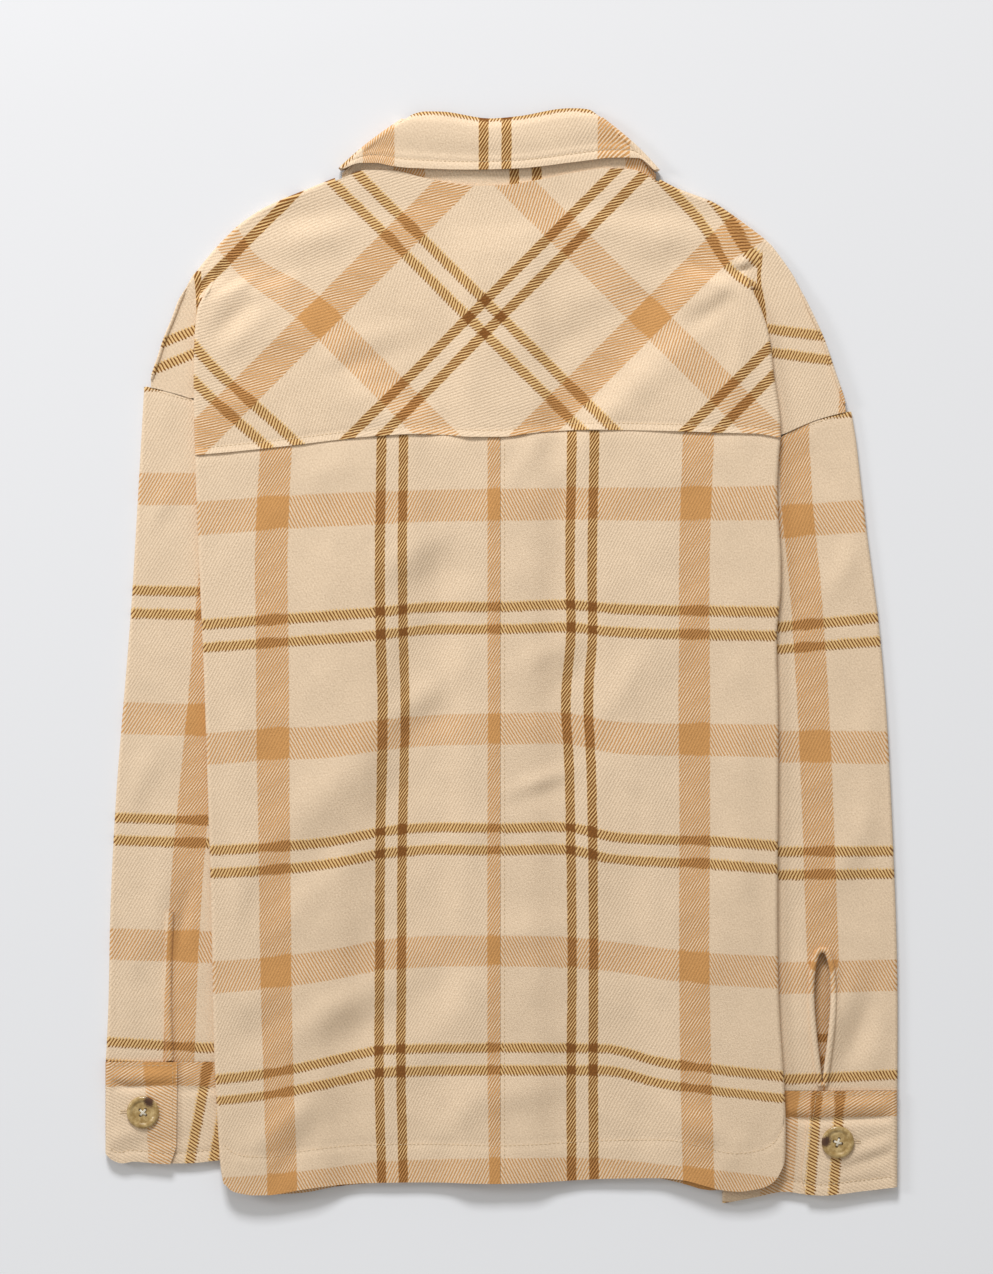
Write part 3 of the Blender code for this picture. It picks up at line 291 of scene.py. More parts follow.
# The back's top edge goes under the yoke: how far, and how much deeper it lies
SEAM_TUCK = 1.6
SEAM_TUCK_DEPTH = 1.7
EDGE_COLUMNS = (-10, 1.5)
TOP_BLEND = 4
WING_START = 1.5
FRONT_CELLS = 9
FRONT_WING_CELLS = 4
FRONT_ROWS_ABOVE = 5
FRONT_ROWS_BELOW = 12
FRONT_COLUMNS = (17, 34, 52)
COLLAR_ROWS = 8
COLLAR_BACK_CELLS = 10
COLLAR_FRONT_CELLS = 6
SLEEVE_ROWS = 24
HIDDEN_CELLS = 3
SHOWN_CELLS = 5
UNDER_COLUMNS = (0, 0.4, 0.8, 1)
CUFF_ROWS = 5
CUFF_LAP_CELLS = 5
CUFF_CELLS = 5
ROLL_ANGLES = (60, 30, 0, -30, -60, -90)
WING_ROWS = {"left": 10, "right": YOKE_ROWS}
FINE = 5
COARSE = 3


# Shapes of curves

def smooth(t):
    t = np.clip(t, 0.0, 1.0)
    return t * t * (3 - 2 * t)


def lerp(a, b, t):
    return a + (b - a) * t


def follow(table, place):
    """Value at a place on a smooth curve through (place, value) rows."""
    rows = sorted(table)
    places = np.array([row[0] for row in rows], float)
    values = np.array([row[1] for row in rows], float)
    slopes = np.gradient(values, places)
    i = np.clip(np.searchsorted(places, place) - 1, 0, len(rows) - 2)
    span = places[i + 1] - places[i]
    t = np.clip((place - places[i]) / span, 0.0, 1.0)
    rise = t * t * (3 - 2 * t)
    bend = slopes[i] * (1 - t) - slopes[i + 1] * t
    return values[i] * (1 - rise) + values[i + 1] * rise + span * bend * t * (1 - t)


def straight(table, place):
    """Value at a place on straight lines through (place, value) rows."""
    rows = sorted(table)
    return np.interp(place, [row[0] for row in rows], [row[1] for row in rows])


def flipped(table):
    return [(b, a) for a, b in table]


def photo_mm(x, y):
    """Place in the model of a pixel of the photograph."""
    return (x - PHOTO_ORIGIN[0]) * PIXEL, (PHOTO_ORIGIN[1] - y) * PIXEL


def photo_pixel(x, y):
    """Pixel of the photograph that shows a place of the model."""
    return x / PIXEL + PHOTO_ORIGIN[0], PHOTO_ORIGIN[1] - y / PIXEL


def shoulder_point(side, out=None, y=None, inset=INSET):
    """Point of the shoulder outline moved inwards, and the outward direction there."""
    step = 2.0
    table = SHOULDER[side]
    if y is None:
        y = follow(table, out)
        before = np.array([out - step, follow(table, out - step)])
        after = np.array([out + step, follow(table, out + step)])
    else:
        out = follow(flipped(table), y)
        before = np.array([follow(flipped(table), y + step), y + step])
        after = np.array([follow(flipped(table), y - step), y - step])
    along = (after - before) / np.linalg.norm(after - before)
    normal = np.array([-along[1], along[0]])
    return np.array([out, y]) - inset * normal, normal


# Heights of the layers

def over_sleeve(side, out, y):
    """1 where the body lies on the sleeve, 0 where it lies on the floor."""
    inner = follow(RAISED_FROM[side], y)
    rise = smooth((out - inner + SLEEVE_RISE + RISE_AHEAD) / SLEEVE_RISE)
    return rise * smooth((PINCH_Y[side] + PINCH_AHEAD - y) / PINCH_RISE)


def ridge(x):
    return 1 - smooth((abs(x) - RIDGE_HALF) / RIDGE_RISE)


def front_neck_y(x):
    share = min(abs(x) / NECK_HALF["left"], 1.0)
    return NECK_SIDE_Y - NECK_DROP * math.sqrt(1 - share * share)


def neck_rise(x, y):
    """1 where the cloth lies on the collar stand, falling to 0 below it and to the side."""
    below = front_neck_y(x) - y
    reach, run, side_limit, side_run = NECK_UNDER
    at_side = 1 if abs(x) < NECK_HALF["left"] else NECK_SIDE_SHARE
    return at_side * smooth((reach - below) / run) * smooth((side_limit - abs(x)) / side_run)


def neck_edge_rise(x, y):
    """1 at the back neck seam, which lies on the collar stand, falling to 0 below it."""
    below = follow(NECK_BACK, x) - y
    reach, run, side_limit, side_run = NECK_EDGE
    return smooth((reach - below) / run) * smooth((side_limit - abs(x)) / side_run)


def folds(table, x, y):
    total = 0.0
    for px, py, angle, length, width, height in table:
        fx, fy = photo_mm(px, py)
        c, s = math.cos(math.radians(angle)), math.sin(math.radians(angle))
        along = (x - fx) * c + (y - fy) * s
        across = (y - fy) * c - (x - fx) * s
        total = total + height * np.exp(-((along / length) ** 2) - (across / width) ** 2)
    return FOLD_STRENGTH * total


def front_height(side, out, y, top_layer):
    x = SIDES[side] * out
    button = BUTTON_RIDGE_UNDER if top_layer else BUTTON_RIDGE_OVER
    sleeve_rise = OVER_SLEEVE * over_sleeve(side, out, y) ** FRONT_RISE_POWER
    return FLOOR_WALL + max(sleeve_rise, button * ridge(x), NECK_RISE_FRONT * neck_rise(x, y))


def back_height(side, out, y):
    x = SIDES[side] * out
    button = BUTTON_RIDGE_BACK * ridge(x) * smooth((RIDGE_BACK_TOP_Y - y) / RIDGE_BACK_RUN)
    neck = max(NECK_RISE_FRONT * NECK_BACK_SHARE * neck_rise(x, y), NECK_RISE_BACK * neck_edge_rise(x, y))
    return YOKE_WALL + max(OVER_SLEEVE * over_sleeve(side, out, y), button, neck)


def roll(centre, direction, radius, middle_z, angles=ROLL_ANGLES):
    """Points round a fold: centre is (out, y), direction points outwards."""
    points = []
    for angle in angles:
        reach = radius * math.cos(math.radians(angle))
        z = middle_z + radius * math.sin(math.radians(angle))
        points.append((centre[0] + direction[0] * reach, centre[1] + direction[1] * reach, z))
    return points


def mirror_out(side, points):
    return [(SIDES[side] * out, y, z) for out, y, z in points]


# Fine grids and shells

def refined(points, factor, axis):
    """Splits each cell of a grid along one axis, on a curve that passes through its points."""
    p = np.moveaxis(points, axis, 0)
    step = np.diff(p, axis=0)
    product = step[:-1] * step[1:]
    total = step[:-1] + step[1:]
    inner = np.where(product > 0, 2 * product / np.where(total == 0, 1, total), 0)
    slope = np.concatenate([step[:1], inner, step[-1:]])
    parts = []
    for k in range(factor):
        t = k / factor
        rise = t * t * (3 - 2 * t)
        bend = slope[:-1] * (1 - t) - slope[1:] * t
        parts.append(p[:-1] * (1 - rise) + p[1:] * rise + bend * t * (1 - t))
    fine = np.stack(parts, axis=1).reshape(-1, *p.shape[1:])
    return np.moveaxis(np.concatenate([fine, p[-1:]]), 0, axis)


def fine_grid(rows, by_row=FINE, by_column=FINE):
    return refined(refined(np.array(rows, float), by_row, 0), by_column, 1)


def fine_keep(grid_rows, grid_columns, keep, by_row=FINE, by_column=FINE):
    cells = np.array([[keep(r, c) for c in range(grid_columns - 1)] for r in range(grid_rows - 1)])
    return np.repeat(np.repeat(cells, by_row, 0), by_column, 1)


def sheet_mesh(name, grid, check, keep=None, patch=None, taken=None):
    """Mesh on a fine grid. check holds each point's place in the woven check, in repeats, patch holds
    another check and the cells that show it, and taken the width of cloth that a fold takes up."""
    rows, columns = grid.shape[:2]
    index = np.arange(rows * columns).reshape(rows, columns)
    quads = np.stack([index[:-1, :-1], index[:-1, 1:], index[1:, 1:], index[1:, :-1]], axis=-1)
    quads = quads.reshape(-1, 4)
    corners = check.reshape(-1, 2)[quads]
    if patch is not None:
        other, cells = patch
        corners = np.where(cells.reshape(-1)[:, None, None], other.reshape(-1, 2)[quads], corners)
    if keep is not None:
        quads, corners = quads[keep.reshape(-1)], corners[keep.reshape(-1)]
    used, packed = np.unique(quads, return_inverse=True)
    points = grid.reshape(-1, 3)[used] * MM
    mesh = bpy.data.meshes.new(name)
    mesh.from_pydata(points.tolist(), [], packed.reshape(-1, 4).tolist())
    layer = mesh.uv_layers.new(name="check")
    layer.data.foreach_set("uv", corners.astype(np.float32).reshape(-1))
    if taken is not None:
        layer = mesh.attributes.new("taken", "FLOAT", "POINT")
        layer.data.foreach_set("value", taken.reshape(-1)[used].astype(np.float32))
    return mesh


def linked(name, data):
    """A new object of the scene."""
    made = bpy.data.objects.new(name, data)
    bpy.context.scene.collection.objects.link(made)
    return made


def baked(name, bm):
    """A mesh of what bm holds, which is freed."""
    mesh = bpy.data.meshes.new(name)
    bm.to_mesh(mesh)
    bm.free()
    return mesh


def applied(piece):
    """Gives a piece the mesh that its modifiers make, and drops them."""
    bpy.context.view_layer.update()
    shown = piece.evaluated_get(bpy.context.evaluated_depsgraph_get())
    made = bpy.data.meshes.new_from_object(shown, preserve_all_data_layers=True,
                                           depsgraph=bpy.context.evaluated_depsgraph_get())
    piece.modifiers.clear()
    piece.data = made
    return piece


def place(piece, node, slot):
    """Links a piece into the scene on the part, in place of a CAD node if it has one."""
    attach(piece, "root")
    if node:
        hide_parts(node)
    return piece


def shell(name, grid, wall, check, node, finish, keep=None, slot="flannel", cutter=None, patch=None,
          taken=None):
    """A thin shell of cloth whose middle is the grid."""
    mesh = sheet_mesh(name, grid, check, keep, patch, taken)
    mesh.materials.append(finish)
    piece = linked(name, mesh)
    solid = piece.modifiers.new("Wall", "SOLIDIFY")
    solid.thickness = wall * MM
    solid.offset = 0
    if cutter:
        boolean = piece.modifiers.new("Cut", "BOOLEAN")
        boolean.operation = "DIFFERENCE"
        boolean.object = cutter
    applied(piece)
    piece.data.shade_smooth()
    piece.data.set_sharp_from_angle(angle=math.radians(60))
    return place(piece, node, slot)


# The woven check

# One repeat of the check and its stripes, in millimetres of cloth
REPEAT_ACROSS = 165.0
REPEAT_ALONG = 160.0
TAN_HALF = 11.2
DARK_HALF = 3.45
DARK_APART = 8.0
STRIPE_SOFT = 0.4
# Twill in the stripes of the warp and elsewhere: distance between its lines, their angle, and the share
# of the warp threads on the face
WARP_TWILL = (1.8, 57, 0.60)
WEFT_TWILL = (2.05, 62, 0.56)
TWILL_SOFT = 0.2
# To the right of a tan stripe the twill of the weft leans the other way, as far as the dark pair
TURNED_RUN = 60.0
# The cream between dark threads looks warmer
BLEED = (0.78, 0.53, 0.24)
TWILL_STRAY = 0.5
TOOTH = 0.75

CREAM = (0.80, 0.636, 0.465)
CREAM_SHADE = (0.655, 0.492, 0.335)
TAN = (0.61, 0.32, 0.115)
TAN_SHADE = (0.50, 0.245, 0.08)
DARK = (0.155, 0.053, 0.007)
DARK_SHADE = (0.25, 0.098, 0.02)


# Lines of the check in the photograph's pixels: for some places across the panel, where each line lies.
# A line's number is its place in repeats: whole for a tan stripe, half for the middle of a dark pair.
BACK_PLACES = (440, 570, 635, 700, 765, 825, 954, 1082, 1178)
BACK_LEFT_STRIPES = {"places": BACK_PLACES, "lines": {
    0: (277, 272, 273, 273.5, 274, 275, 276.5, 279.5, 283),
    0.5: (393.3, 392, 392.6, 394.6, 393.6, 392, 391, 390.4, 392.6),
    1: (502.5, 502.5, 502.5, 502.5, 502.5, 502.5, 502.5, 503, 504.5)}}
BACK_RIGHT_STRIPES = {"places": BACK_PLACES, "lines": {
    0.5: (583, 581, 581.5, 577, 580, 581.3, 582.6, 582, 582.6),
    1: (697.5, 693.5, 693.5, 693.5, 693.8, 694, 693.5, 695.5, 698)}}
BACK_COURSES = {"places": (200, 275, 330, 385, 415, 504, 575, 610, 660, 700, 780), "lines": {
    0: (518, 513, 509.5, 507.5, 506, 504.5, 503.5, 503.7, 503.8, 503.5, 502.5),
    0.5: (636.5, 631.4, 627.3, 623, 619.5, 618, 616.3, 619.8, 622, 622.8, 624.2),
    1: (748.5, 743, 741, 734, 731, 728, 729, 736, 738.8, 739, 739.8),
    1.5: (861.5, 857.3, 851.8, 841.5, 838.7, 838.4, 838.8, 846.8, 849.8, 851, 857),
    2: (976.5, 970.5, 963.5, 954, 951.5, 949.5, 952, 955.5, 962, 966.5, 970.5),
    2.5: (1091, 1082, 1070.5, 1059.5, 1058.5, 1057, 1057.8, 1058.5, 1071.5, 1077, 1086),
    3: (1190, 1186, 1181, 1176, 1174.5, 1172, 1172, 1173, 1177, 1180, 1190)}}
SLEEVE_STRIPES = {
    "left": {"places": (480, 560, 680, 900, 1060), "lines": {
        0: (222, 216, 206, 186, 179), 0.5: (338, 332, 322, 302, 295)}},
    "right": {"places": (440, 515, 573, 631, 950, 1080), "lines": {
        0: (793, 797.5, 803.5, 808, 822, 826), 0.5: (909, 913.5, 919.5, 924, 938, 942)}},
}
SLEEVE_COURSES = {
    "left": {"places": (110, 200), "lines": {
        0: (488.5, 488.5), 0.5: (601, 603), 1: (717, 720), 1.5: (828, 831), 2: (943, 946),
        2.5: (1052, 1058)}},
    "right": {"places": (780, 890), "lines": {
        0: (522, 513), 0.5: (638.5, 628), 1: (745, 747), 1.5: (863, 862), 2: (977, 974), 2.5: (1090, 1085)}},
}
COLLAR_STRIPES = {"places": (110, 180), "lines": {0: (379, 379), 0.5: (495, 495), 1: (613.5, 613.5)}}
COLLAR_COURSES = {"places": (345, 384, 427, 489, 517, 581, 616, 657), "lines": {
    0.5: (152.5, 111, 100, 106.5, 105, 97, 108.5, 150.5),
    1: (268.5, 227, 216, 222.5, 221, 213, 224.5, 266.5)}}
STAND_STRIPES = {"places": (160, 190), "lines": {0.5: (525, 526), 1: (641, 642)}}
STAND_COURSES = {"places": (340, 660), "lines": {0.25: (175, 175), 0.75: (285, 285)}}
WING_STRIPES = {
    "left": {"places": (270, 302), "lines": {0: (94, 97), 0.5: (210, 213)}},
    "right": {"places": (260, 275, 310, 345, 410), "lines": {
        0.5: (746, 744.5, 750.5, 753, 755), 1: (862, 860, 858, 856, 851)}},
}
WING_COURSES = {
    "left": {"places": (155, 195), "lines": {0: (242, 226), 0.5: (358, 342)}},
    "right": {"places": (768, 830), "lines": {0: (225, 233), 0.5: (341, 349)}},
}
CUFF_LAP_STRIPES = {
    "left": {"places": (1055, 1160), "lines": {0: (160.5, 164.5), 0.5: (276, 280)}},
    "right": {"places": (1090, 1195), "lines": {0.5: (828, 820.5), 1: (944, 936.5)}},
}
CUFF_UNDER_STRIPES = {
    "left": {"places": (1055, 1160), "lines": {0: (105, 86), 0.5: (221.5, 202)}},
    "right": {"places": (1090, 1195), "lines": {0: (783, 775), 0.5: (899, 891)}},
}
CUFF_COURSES = {
    "left": {"places": (105, 180, 225), "lines": {0: (1070, 1069, 1071), 0.5: (1186, 1185, 1187)}},
    "right": {"places": (780, 815, 900), "lines": {0: (1101, 1100, 1099), 0.5: (1217, 1216, 1215)}},
}


def phase(lines, across, at):
    """Place in repeats of points between drawn stripe lines."""
    numbers = sorted(lines["lines"])
    drawn = [follow(list(zip(lines["places"], lines["lines"][number])), at) for number in numbers]
    total = np.full(np.shape(across), float(numbers[0]))
    for k in range(len(numbers) - 1):
        share = (across - drawn[k]) / (drawn[k + 1] - drawn[k])
        low = -np.inf if k == 0 else 0.0
        high = np.inf if k == len(numbers) - 2 else 1.0
        total = total + np.clip(share, low, high) * (numbers[k + 1] - numbers[k])
    return total


def panel_check(grid, stripes, courses):
    x, y = photo_pixel(grid[..., 0], grid[..., 1])
    return np.stack([phase(stripes, x, y), phase(courses, y, x)], axis=-1)


# The yoke is cut on the bias. Its dark pairs cross at this pixel
BIAS_CROSS = (485, 318)
BIAS_HALF_REPEAT = 116.5
BIAS_ANGLE = 45
# Where the yoke's cloth is drawn together: pixel, shift of the check there, reach
YOKE_PULLS = [(738, 268, 10.5, -10.5, 40), (775, 240, -8, -8, 36), (262, 250, 12, -12, 45),
              (215, 380, 4, -4, 60)]
# Top of the part of each wing that has its own lines
WING_TOP = {"left": 273, "right": 288}


def bias_check(grid):
    x, y = photo_pixel(grid[..., 0], grid[..., 1])
    dx, dy = x - BIAS_CROSS[0], y - BIAS_CROSS[1]
    for px, py, shift_x, shift_y, reach in YOKE_PULLS:
        share = np.exp(-((x - px) ** 2 + (y - py) ** 2) / reach ** 2)
        dx, dy = dx + shift_x * share, dy + shift_y * share
    c, s = math.cos(math.radians(BIAS_ANGLE)), math.sin(math.radians(BIAS_ANGLE))
    repeat = 2 * BIAS_HALF_REPEAT
    return np.stack([0.5 + (dx * c + dy * s) / repeat, 0.5 + (dy * c - dx * s) / repeat], axis=-1)


def wing_patch(grid, past_fold):
    left = grid[..., 0] < 0
    checks = [panel_check(grid, WING_STRIPES[side], WING_COURSES[side]) for side in SIDES]
    check = np.where(left[..., None], *checks)
    limit = np.where(left, WING_TOP["left"], WING_TOP["right"])
    wing = (past_fold > 0) & (grid[..., 1] < limit)
    return check, wing[:-1, :-1] & wing[1:, 1:] & wing[:-1, 1:] & wing[1:, :-1]


# Node trees

class Tree:
    """Short calls that add the nodes of a material."""

    def __init__(self, name):
        self.material = bpy.data.materials.new(name)
        self.material.use_nodes = True
        self.tree = self.material.node_tree
        self.shader = self.tree.nodes["Principled BSDF"]

    def node(self, kind, **settings):
        made = self.tree.nodes.new(kind)
        for key, value in settings.items():
            setattr(made, key, value)
        return made

    def set(self, socket, value):
        if isinstance(value, bpy.types.NodeSocket):
            self.tree.links.new(value, socket)
        else:
            socket.default_value = value

    def split(self, vector):
        """The three parts of a vector."""
        made = self.node("ShaderNodeSeparateXYZ")
        self.set(made.inputs[0], vector)
        return made.outputs

    def math(self, operation, *values):
        made = self.node("ShaderNodeMath", operation=operation)
        for socket, value in zip(made.inputs, values):
            self.set(socket, value)
        return made.outputs[0]

    def ramp(self, value, low, high):
        """0 at low, 1 at high, smooth between."""
        made = self.node("ShaderNodeMapRange", interpolation_type="SMOOTHSTEP")
        for socket, v in zip(made.inputs, (value, low, high, 0.0, 1.0)):
            self.set(socket, v)
        return made.outputs[0]

    def mix(self, share, a, b, blend="MIX"):
        made = self.node("ShaderNodeMix", data_type="RGBA", blend_type=blend)
        colors = [s for s in made.inputs if s.type == "RGBA"]
        self.set(made.inputs[0], share)
        for socket, value in zip(colors, (a, b)):
            self.set(socket, value if isinstance(value, bpy.types.NodeSocket) else (*value, 1.0))
        return [s for s in made.outputs if s.type == "RGBA"][0]

    def noise(self, place, scale, detail=2.0, roughness=0.5):
        made = self.node("ShaderNodeTexNoise")
        self.set(made.inputs["Vector"], place)
        made.inputs["Scale"].default_value = scale
        made.inputs["Detail"].default_value = detail
        made.inputs["Roughness"].default_value = roughness
        return made.outputs["Fac"]

    def bump(self, height, strength, distance):
        made = self.node("ShaderNodeBump")
        made.inputs["Strength"].default_value = strength
        made.inputs["Distance"].default_value = distance
        self.set(made.inputs["Height"], height)
        self.tree.links.new(made.outputs[0], self.shader.inputs["Normal"])


def stripe_masks(tree, millimetres, repeat):
    """Masks of the tan stripe and of the dark pair along one thread direction."""
    from_tan = tree.math("PINGPONG", millimetres, repeat / 2)
    tan = tree.ramp(from_tan, TAN_HALF + STRIPE_SOFT, TAN_HALF - STRIPE_SOFT)
    from_pair = tree.math("SUBTRACT", repeat / 2, from_tan)
    from_line = tree.math("ABSOLUTE", tree.math("SUBTRACT", from_pair, DARK_APART))
    dark = tree.ramp(from_line, DARK_HALF + STRIPE_SOFT, DARK_HALF - STRIPE_SOFT)
    return tan, dark


def twill(tree, across, along, stray, look):
    """Share of the warp on the face, and the wave that raises its threads."""
    pitch, degrees, face = look
    angle = math.radians(degrees)
    turns = 2 * math.pi / pitch
    slant = tree.math("MULTIPLY", across, turns * math.sin(angle))
    slant = tree.math("MULTIPLY_ADD", along, turns * math.cos(angle), slant)
    slant = tree.math("MULTIPLY_ADD", stray, TWILL_STRAY * 2 * math.pi, slant)
    wave = tree.math("SINE", slant)
    middle = math.cos(math.pi * face)
    return tree.ramp(wave, middle - TWILL_SOFT, middle + TWILL_SOFT), wave


# Noise in the cloth: scale, detail, roughness
DRIFT = (0.22, 3.0, 0.6)
FUZZ = (0.85, 4.0, 0.75)
CLOUD = (0.06, 4.0, 0.65)
# How far drift and fuzz move the edges of the stripes: across, along
EDGE_DRIFT = (1.6, 2.0)
EDGE_FUZZ = (0.9, 1.3)
MOTTLE = (0.25, 0.75)
# Share of the warp's colour: span of the twill, least share, and what a dark thread adds
FACE_SPAN = 0.94
FACE_LEAST = 0.03
DARK_LEAD = 0.07
# Brightness, and how far cloud, fuzz and twill change it
SHADE = 1.005
SHADE_CLOUD = 0.15
SHADE_FUZZ = 0.3
SHADE_TWILL = 0.012
# Relief: height of fuzz and twill, and the strength and distance of both
FUZZ_HEIGHT = 1.6
TWILL_HEIGHT = 0.3
CLOTH_BUMP = (0.6, 0.0005)


def weave_masks(tree, across, along, stray, rough, weft_wave):
    """Masks of the stripes in the warp and in the weft, with uneven edges."""
    taken = tree.node("ShaderNodeAttribute", attribute_name="taken").outputs["Fac"]
    across = tree.math("MULTIPLY_ADD", stray, EDGE_DRIFT[0], tree.math("ADD", across, taken))
    across = tree.math("MULTIPLY_ADD", rough, EDGE_FUZZ[0], across)
    along = tree.math("MULTIPLY_ADD", stray, EDGE_DRIFT[1], along)
    along = tree.math("MULTIPLY_ADD", rough, EDGE_FUZZ[1], along)
    along = tree.math("MULTIPLY_ADD", weft_wave, TOOTH, along)
    return stripe_masks(tree, across, REPEAT_ACROSS), stripe_masks(tree, along, REPEAT_ALONG)


def woven_color(tree, masks, faces, fuzz):
    """Colour of the threads that show, those of the warp or of the weft."""
    (warp_tan, warp_dark), (weft_tan, weft_dark) = masks
    warp_face, weft_face = faces
    mottle = tree.ramp(fuzz, *MOTTLE)
    cream = tree.mix(mottle, CREAM_SHADE, CREAM)
    tan = tree.mix(mottle, TAN_SHADE, TAN)
    dark = tree.mix(mottle, DARK, DARK_SHADE)
    near_dark = tree.mix(tree.math("MAXIMUM", warp_dark, weft_dark), cream, BLEED)
    warp = tree.mix(warp_dark, tree.mix(warp_tan, near_dark, tan), dark)
    weft = tree.mix(weft_dark, tree.mix(weft_tan, near_dark, tan), dark)
    face = tree.node("ShaderNodeMix", data_type="FLOAT")
    tree.set(face.inputs[0], tree.math("MAXIMUM", warp_tan, warp_dark))
    tree.set(face.inputs[2], weft_face)
    tree.set(face.inputs[3], warp_face)
    lead = tree.math("SUBTRACT", warp_dark, weft_dark)
    share = tree.math("MULTIPLY_ADD", face.outputs[0], FACE_SPAN, FACE_LEAST)
    share = tree.math("MULTIPLY_ADD", lead, DARK_LEAD, share)
    return tree.mix(share, weft, warp)


def flannel(name):
    """Brushed twill: warp and weft threads carry the stripes, and the twill shows one or the other."""
    tree = Tree(name)
    parts = tree.split(tree.node("ShaderNodeUVMap", uv_map="check").outputs[0])
    across = tree.math("MULTIPLY", parts[0], REPEAT_ACROSS)
    along = tree.math("MULTIPLY", parts[1], REPEAT_ALONG)
    spot = tree.node("ShaderNodeCombineXYZ")
    tree.set(spot.inputs[0], across)
    tree.set(spot.inputs[1], along)
    drift = tree.noise(spot.outputs[0], *DRIFT)
    fuzz = tree.noise(spot.outputs[0], *FUZZ)
    cloud = tree.noise(spot.outputs[0], *CLOUD)
    stray = tree.math("SUBTRACT", drift, 0.5)
    rough = tree.math("SUBTRACT", fuzz, 0.5)

    turned = tree.math("FLOORED_MODULO", tree.math("SUBTRACT", across, TAN_HALF), REPEAT_ACROSS)
    flip = tree.math("MULTIPLY_ADD", tree.math("MINIMUM", turned, TURNED_RUN), -2.0, turned)
    warp_face, _ = twill(tree, across, along, stray, WARP_TWILL)
    weft_face, weft_wave = twill(tree, flip, along, stray, WEFT_TWILL)
    masks = weave_masks(tree, across, along, stray, rough, weft_wave)
    woven = woven_color(tree, masks, (warp_face, weft_face), fuzz)

    shade = tree.math("MULTIPLY_ADD", tree.math("SUBTRACT", cloud, 0.5), SHADE_CLOUD, SHADE)
    shade = tree.math("MULTIPLY_ADD", rough, SHADE_FUZZ, shade)
    shade = tree.math("MULTIPLY_ADD", weft_wave, SHADE_TWILL, shade)
    tint = tree.node("ShaderNodeCombineColor")
    for socket in tint.inputs[:3]:
        tree.set(socket, shade)
    color = tree.mix(1.0, woven, tint.outputs[0], blend="MULTIPLY")
    tree.set(tree.shader.inputs["Base Color"], color)
    tree.shader.inputs["Roughness"].default_value = 0.92
    tree.shader.inputs["Specular IOR Level"].default_value = 0.18
    tree.shader.inputs["Sheen Weight"].default_value = 0.22
    tree.shader.inputs["Sheen Roughness"].default_value = 0.5
    tree.shader.inputs["Sheen Tint"].default_value = (1.0, 0.93, 0.82, 1.0)
    height = tree.math("MULTIPLY", fuzz, FUZZ_HEIGHT)
    height = tree.math("MULTIPLY_ADD", weft_wave, TWILL_HEIGHT, height)
    tree.bump(height, *CLOTH_BUMP)
    return tree.material


# The threads: noise of their grain, share of the dark tone, strength and distance of the relief
THREAD_GRAIN = (900.0, 2.0)
THREAD_SHADE = 0.82
THREAD_BUMP = (0.4, 0.0001)
SEWING_COLOR = (0.62, 0.46, 0.28)
BUTTON_THREAD_COLOR = (0.80, 0.74, 0.62)


def thread(name, color):
    tree = Tree(name)
    spot = tree.node("ShaderNodeTexCoord").outputs["Object"]
    grain = tree.noise(spot, *THREAD_GRAIN)
    tone = tree.mix(grain, tuple(v * THREAD_SHADE for v in color), color)
    tree.set(tree.shader.inputs["Base Color"], tone)
    tree.shader.inputs["Roughness"].default_value = 0.75
    tree.shader.inputs["Sheen Weight"].default_value = 0.15
    tree.bump(grain, *THREAD_BUMP)
    return tree.material


# The horn: noise of its streaks and its grain, colours, and the patch's middle, width and edge
STREAKS = (2.6, 5.0, 0.62)
STREAK_EDGE = (0.35, 0.7)
HORN_GRAIN = (14.0, 4.0, 0.6)
HONEY_SHADE = (0.30, 0.185, 0.055)
HONEY = (0.56, 0.41, 0.19)
HORN_DARK = (0.075, 0.03, 0.012)
PATCH_AT = (0.42, 0.66)
PATCH_NARROWS = 1.2
PATCH_WOBBLE = 0.5
PATCH_EDGE = (0.5, 0.22)
HORN_BUMP = (0.08, 0.0003)


def horn(name):
    """Olive horn look: cloudy streaks and one dark patch, which sits at the top right of each button."""
    tree = Tree(name)
    uv = tree.node("ShaderNodeUVMap", uv_map="check").outputs[0]
    streaks = tree.noise(uv, *STREAKS)
    grain = tree.noise(uv, *HORN_GRAIN)
    honey = tree.mix(tree.ramp(streaks, *STREAK_EDGE), HONEY_SHADE, HONEY)
    parts = tree.split(uv)
    dx = tree.math("MULTIPLY", tree.math("SUBTRACT", parts[0], PATCH_AT[0]), PATCH_NARROWS)
    dy = tree.math("SUBTRACT", parts[1], PATCH_AT[1])
    squares = tree.math("ADD", tree.math("MULTIPLY", dx, dx), tree.math("MULTIPLY", dy, dy))
    distance = tree.math("SQRT", squares)
    wobble = tree.math("MULTIPLY_ADD", tree.math("SUBTRACT", grain, 0.5), PATCH_WOBBLE, distance)
    color = tree.mix(tree.ramp(wobble, *PATCH_EDGE), honey, HORN_DARK)
    tree.set(tree.shader.inputs["Base Color"], color)
    tree.shader.inputs["Roughness"].default_value = 0.28
    tree.shader.inputs["Coat Weight"].default_value = 0.25
    tree.shader.inputs["Subsurface Weight"].default_value = 0.0
    tree.bump(grain, *HORN_BUMP)
    return tree.material


FLANNEL = flannel("flannel_check")
SEWING = thread("sewing_thread", SEWING_COLOR)
BUTTON_THREAD = thread("button_thread", BUTTON_THREAD_COLOR)
HORN = horn("horn")


# Fine relief that the coarse forms leave out

RIPPLE_WAVES = 10
GOLDEN_ANGLE = 2.39996
LONG_RIPPLE = 0.17
SHORT_RIPPLE = 0.035
# Lengths of the waves: the least, and the step to the next
LONG_WAVE = (52, 19)
SHORT_WAVE = (21, 5)
WAVE_STEPS = 5
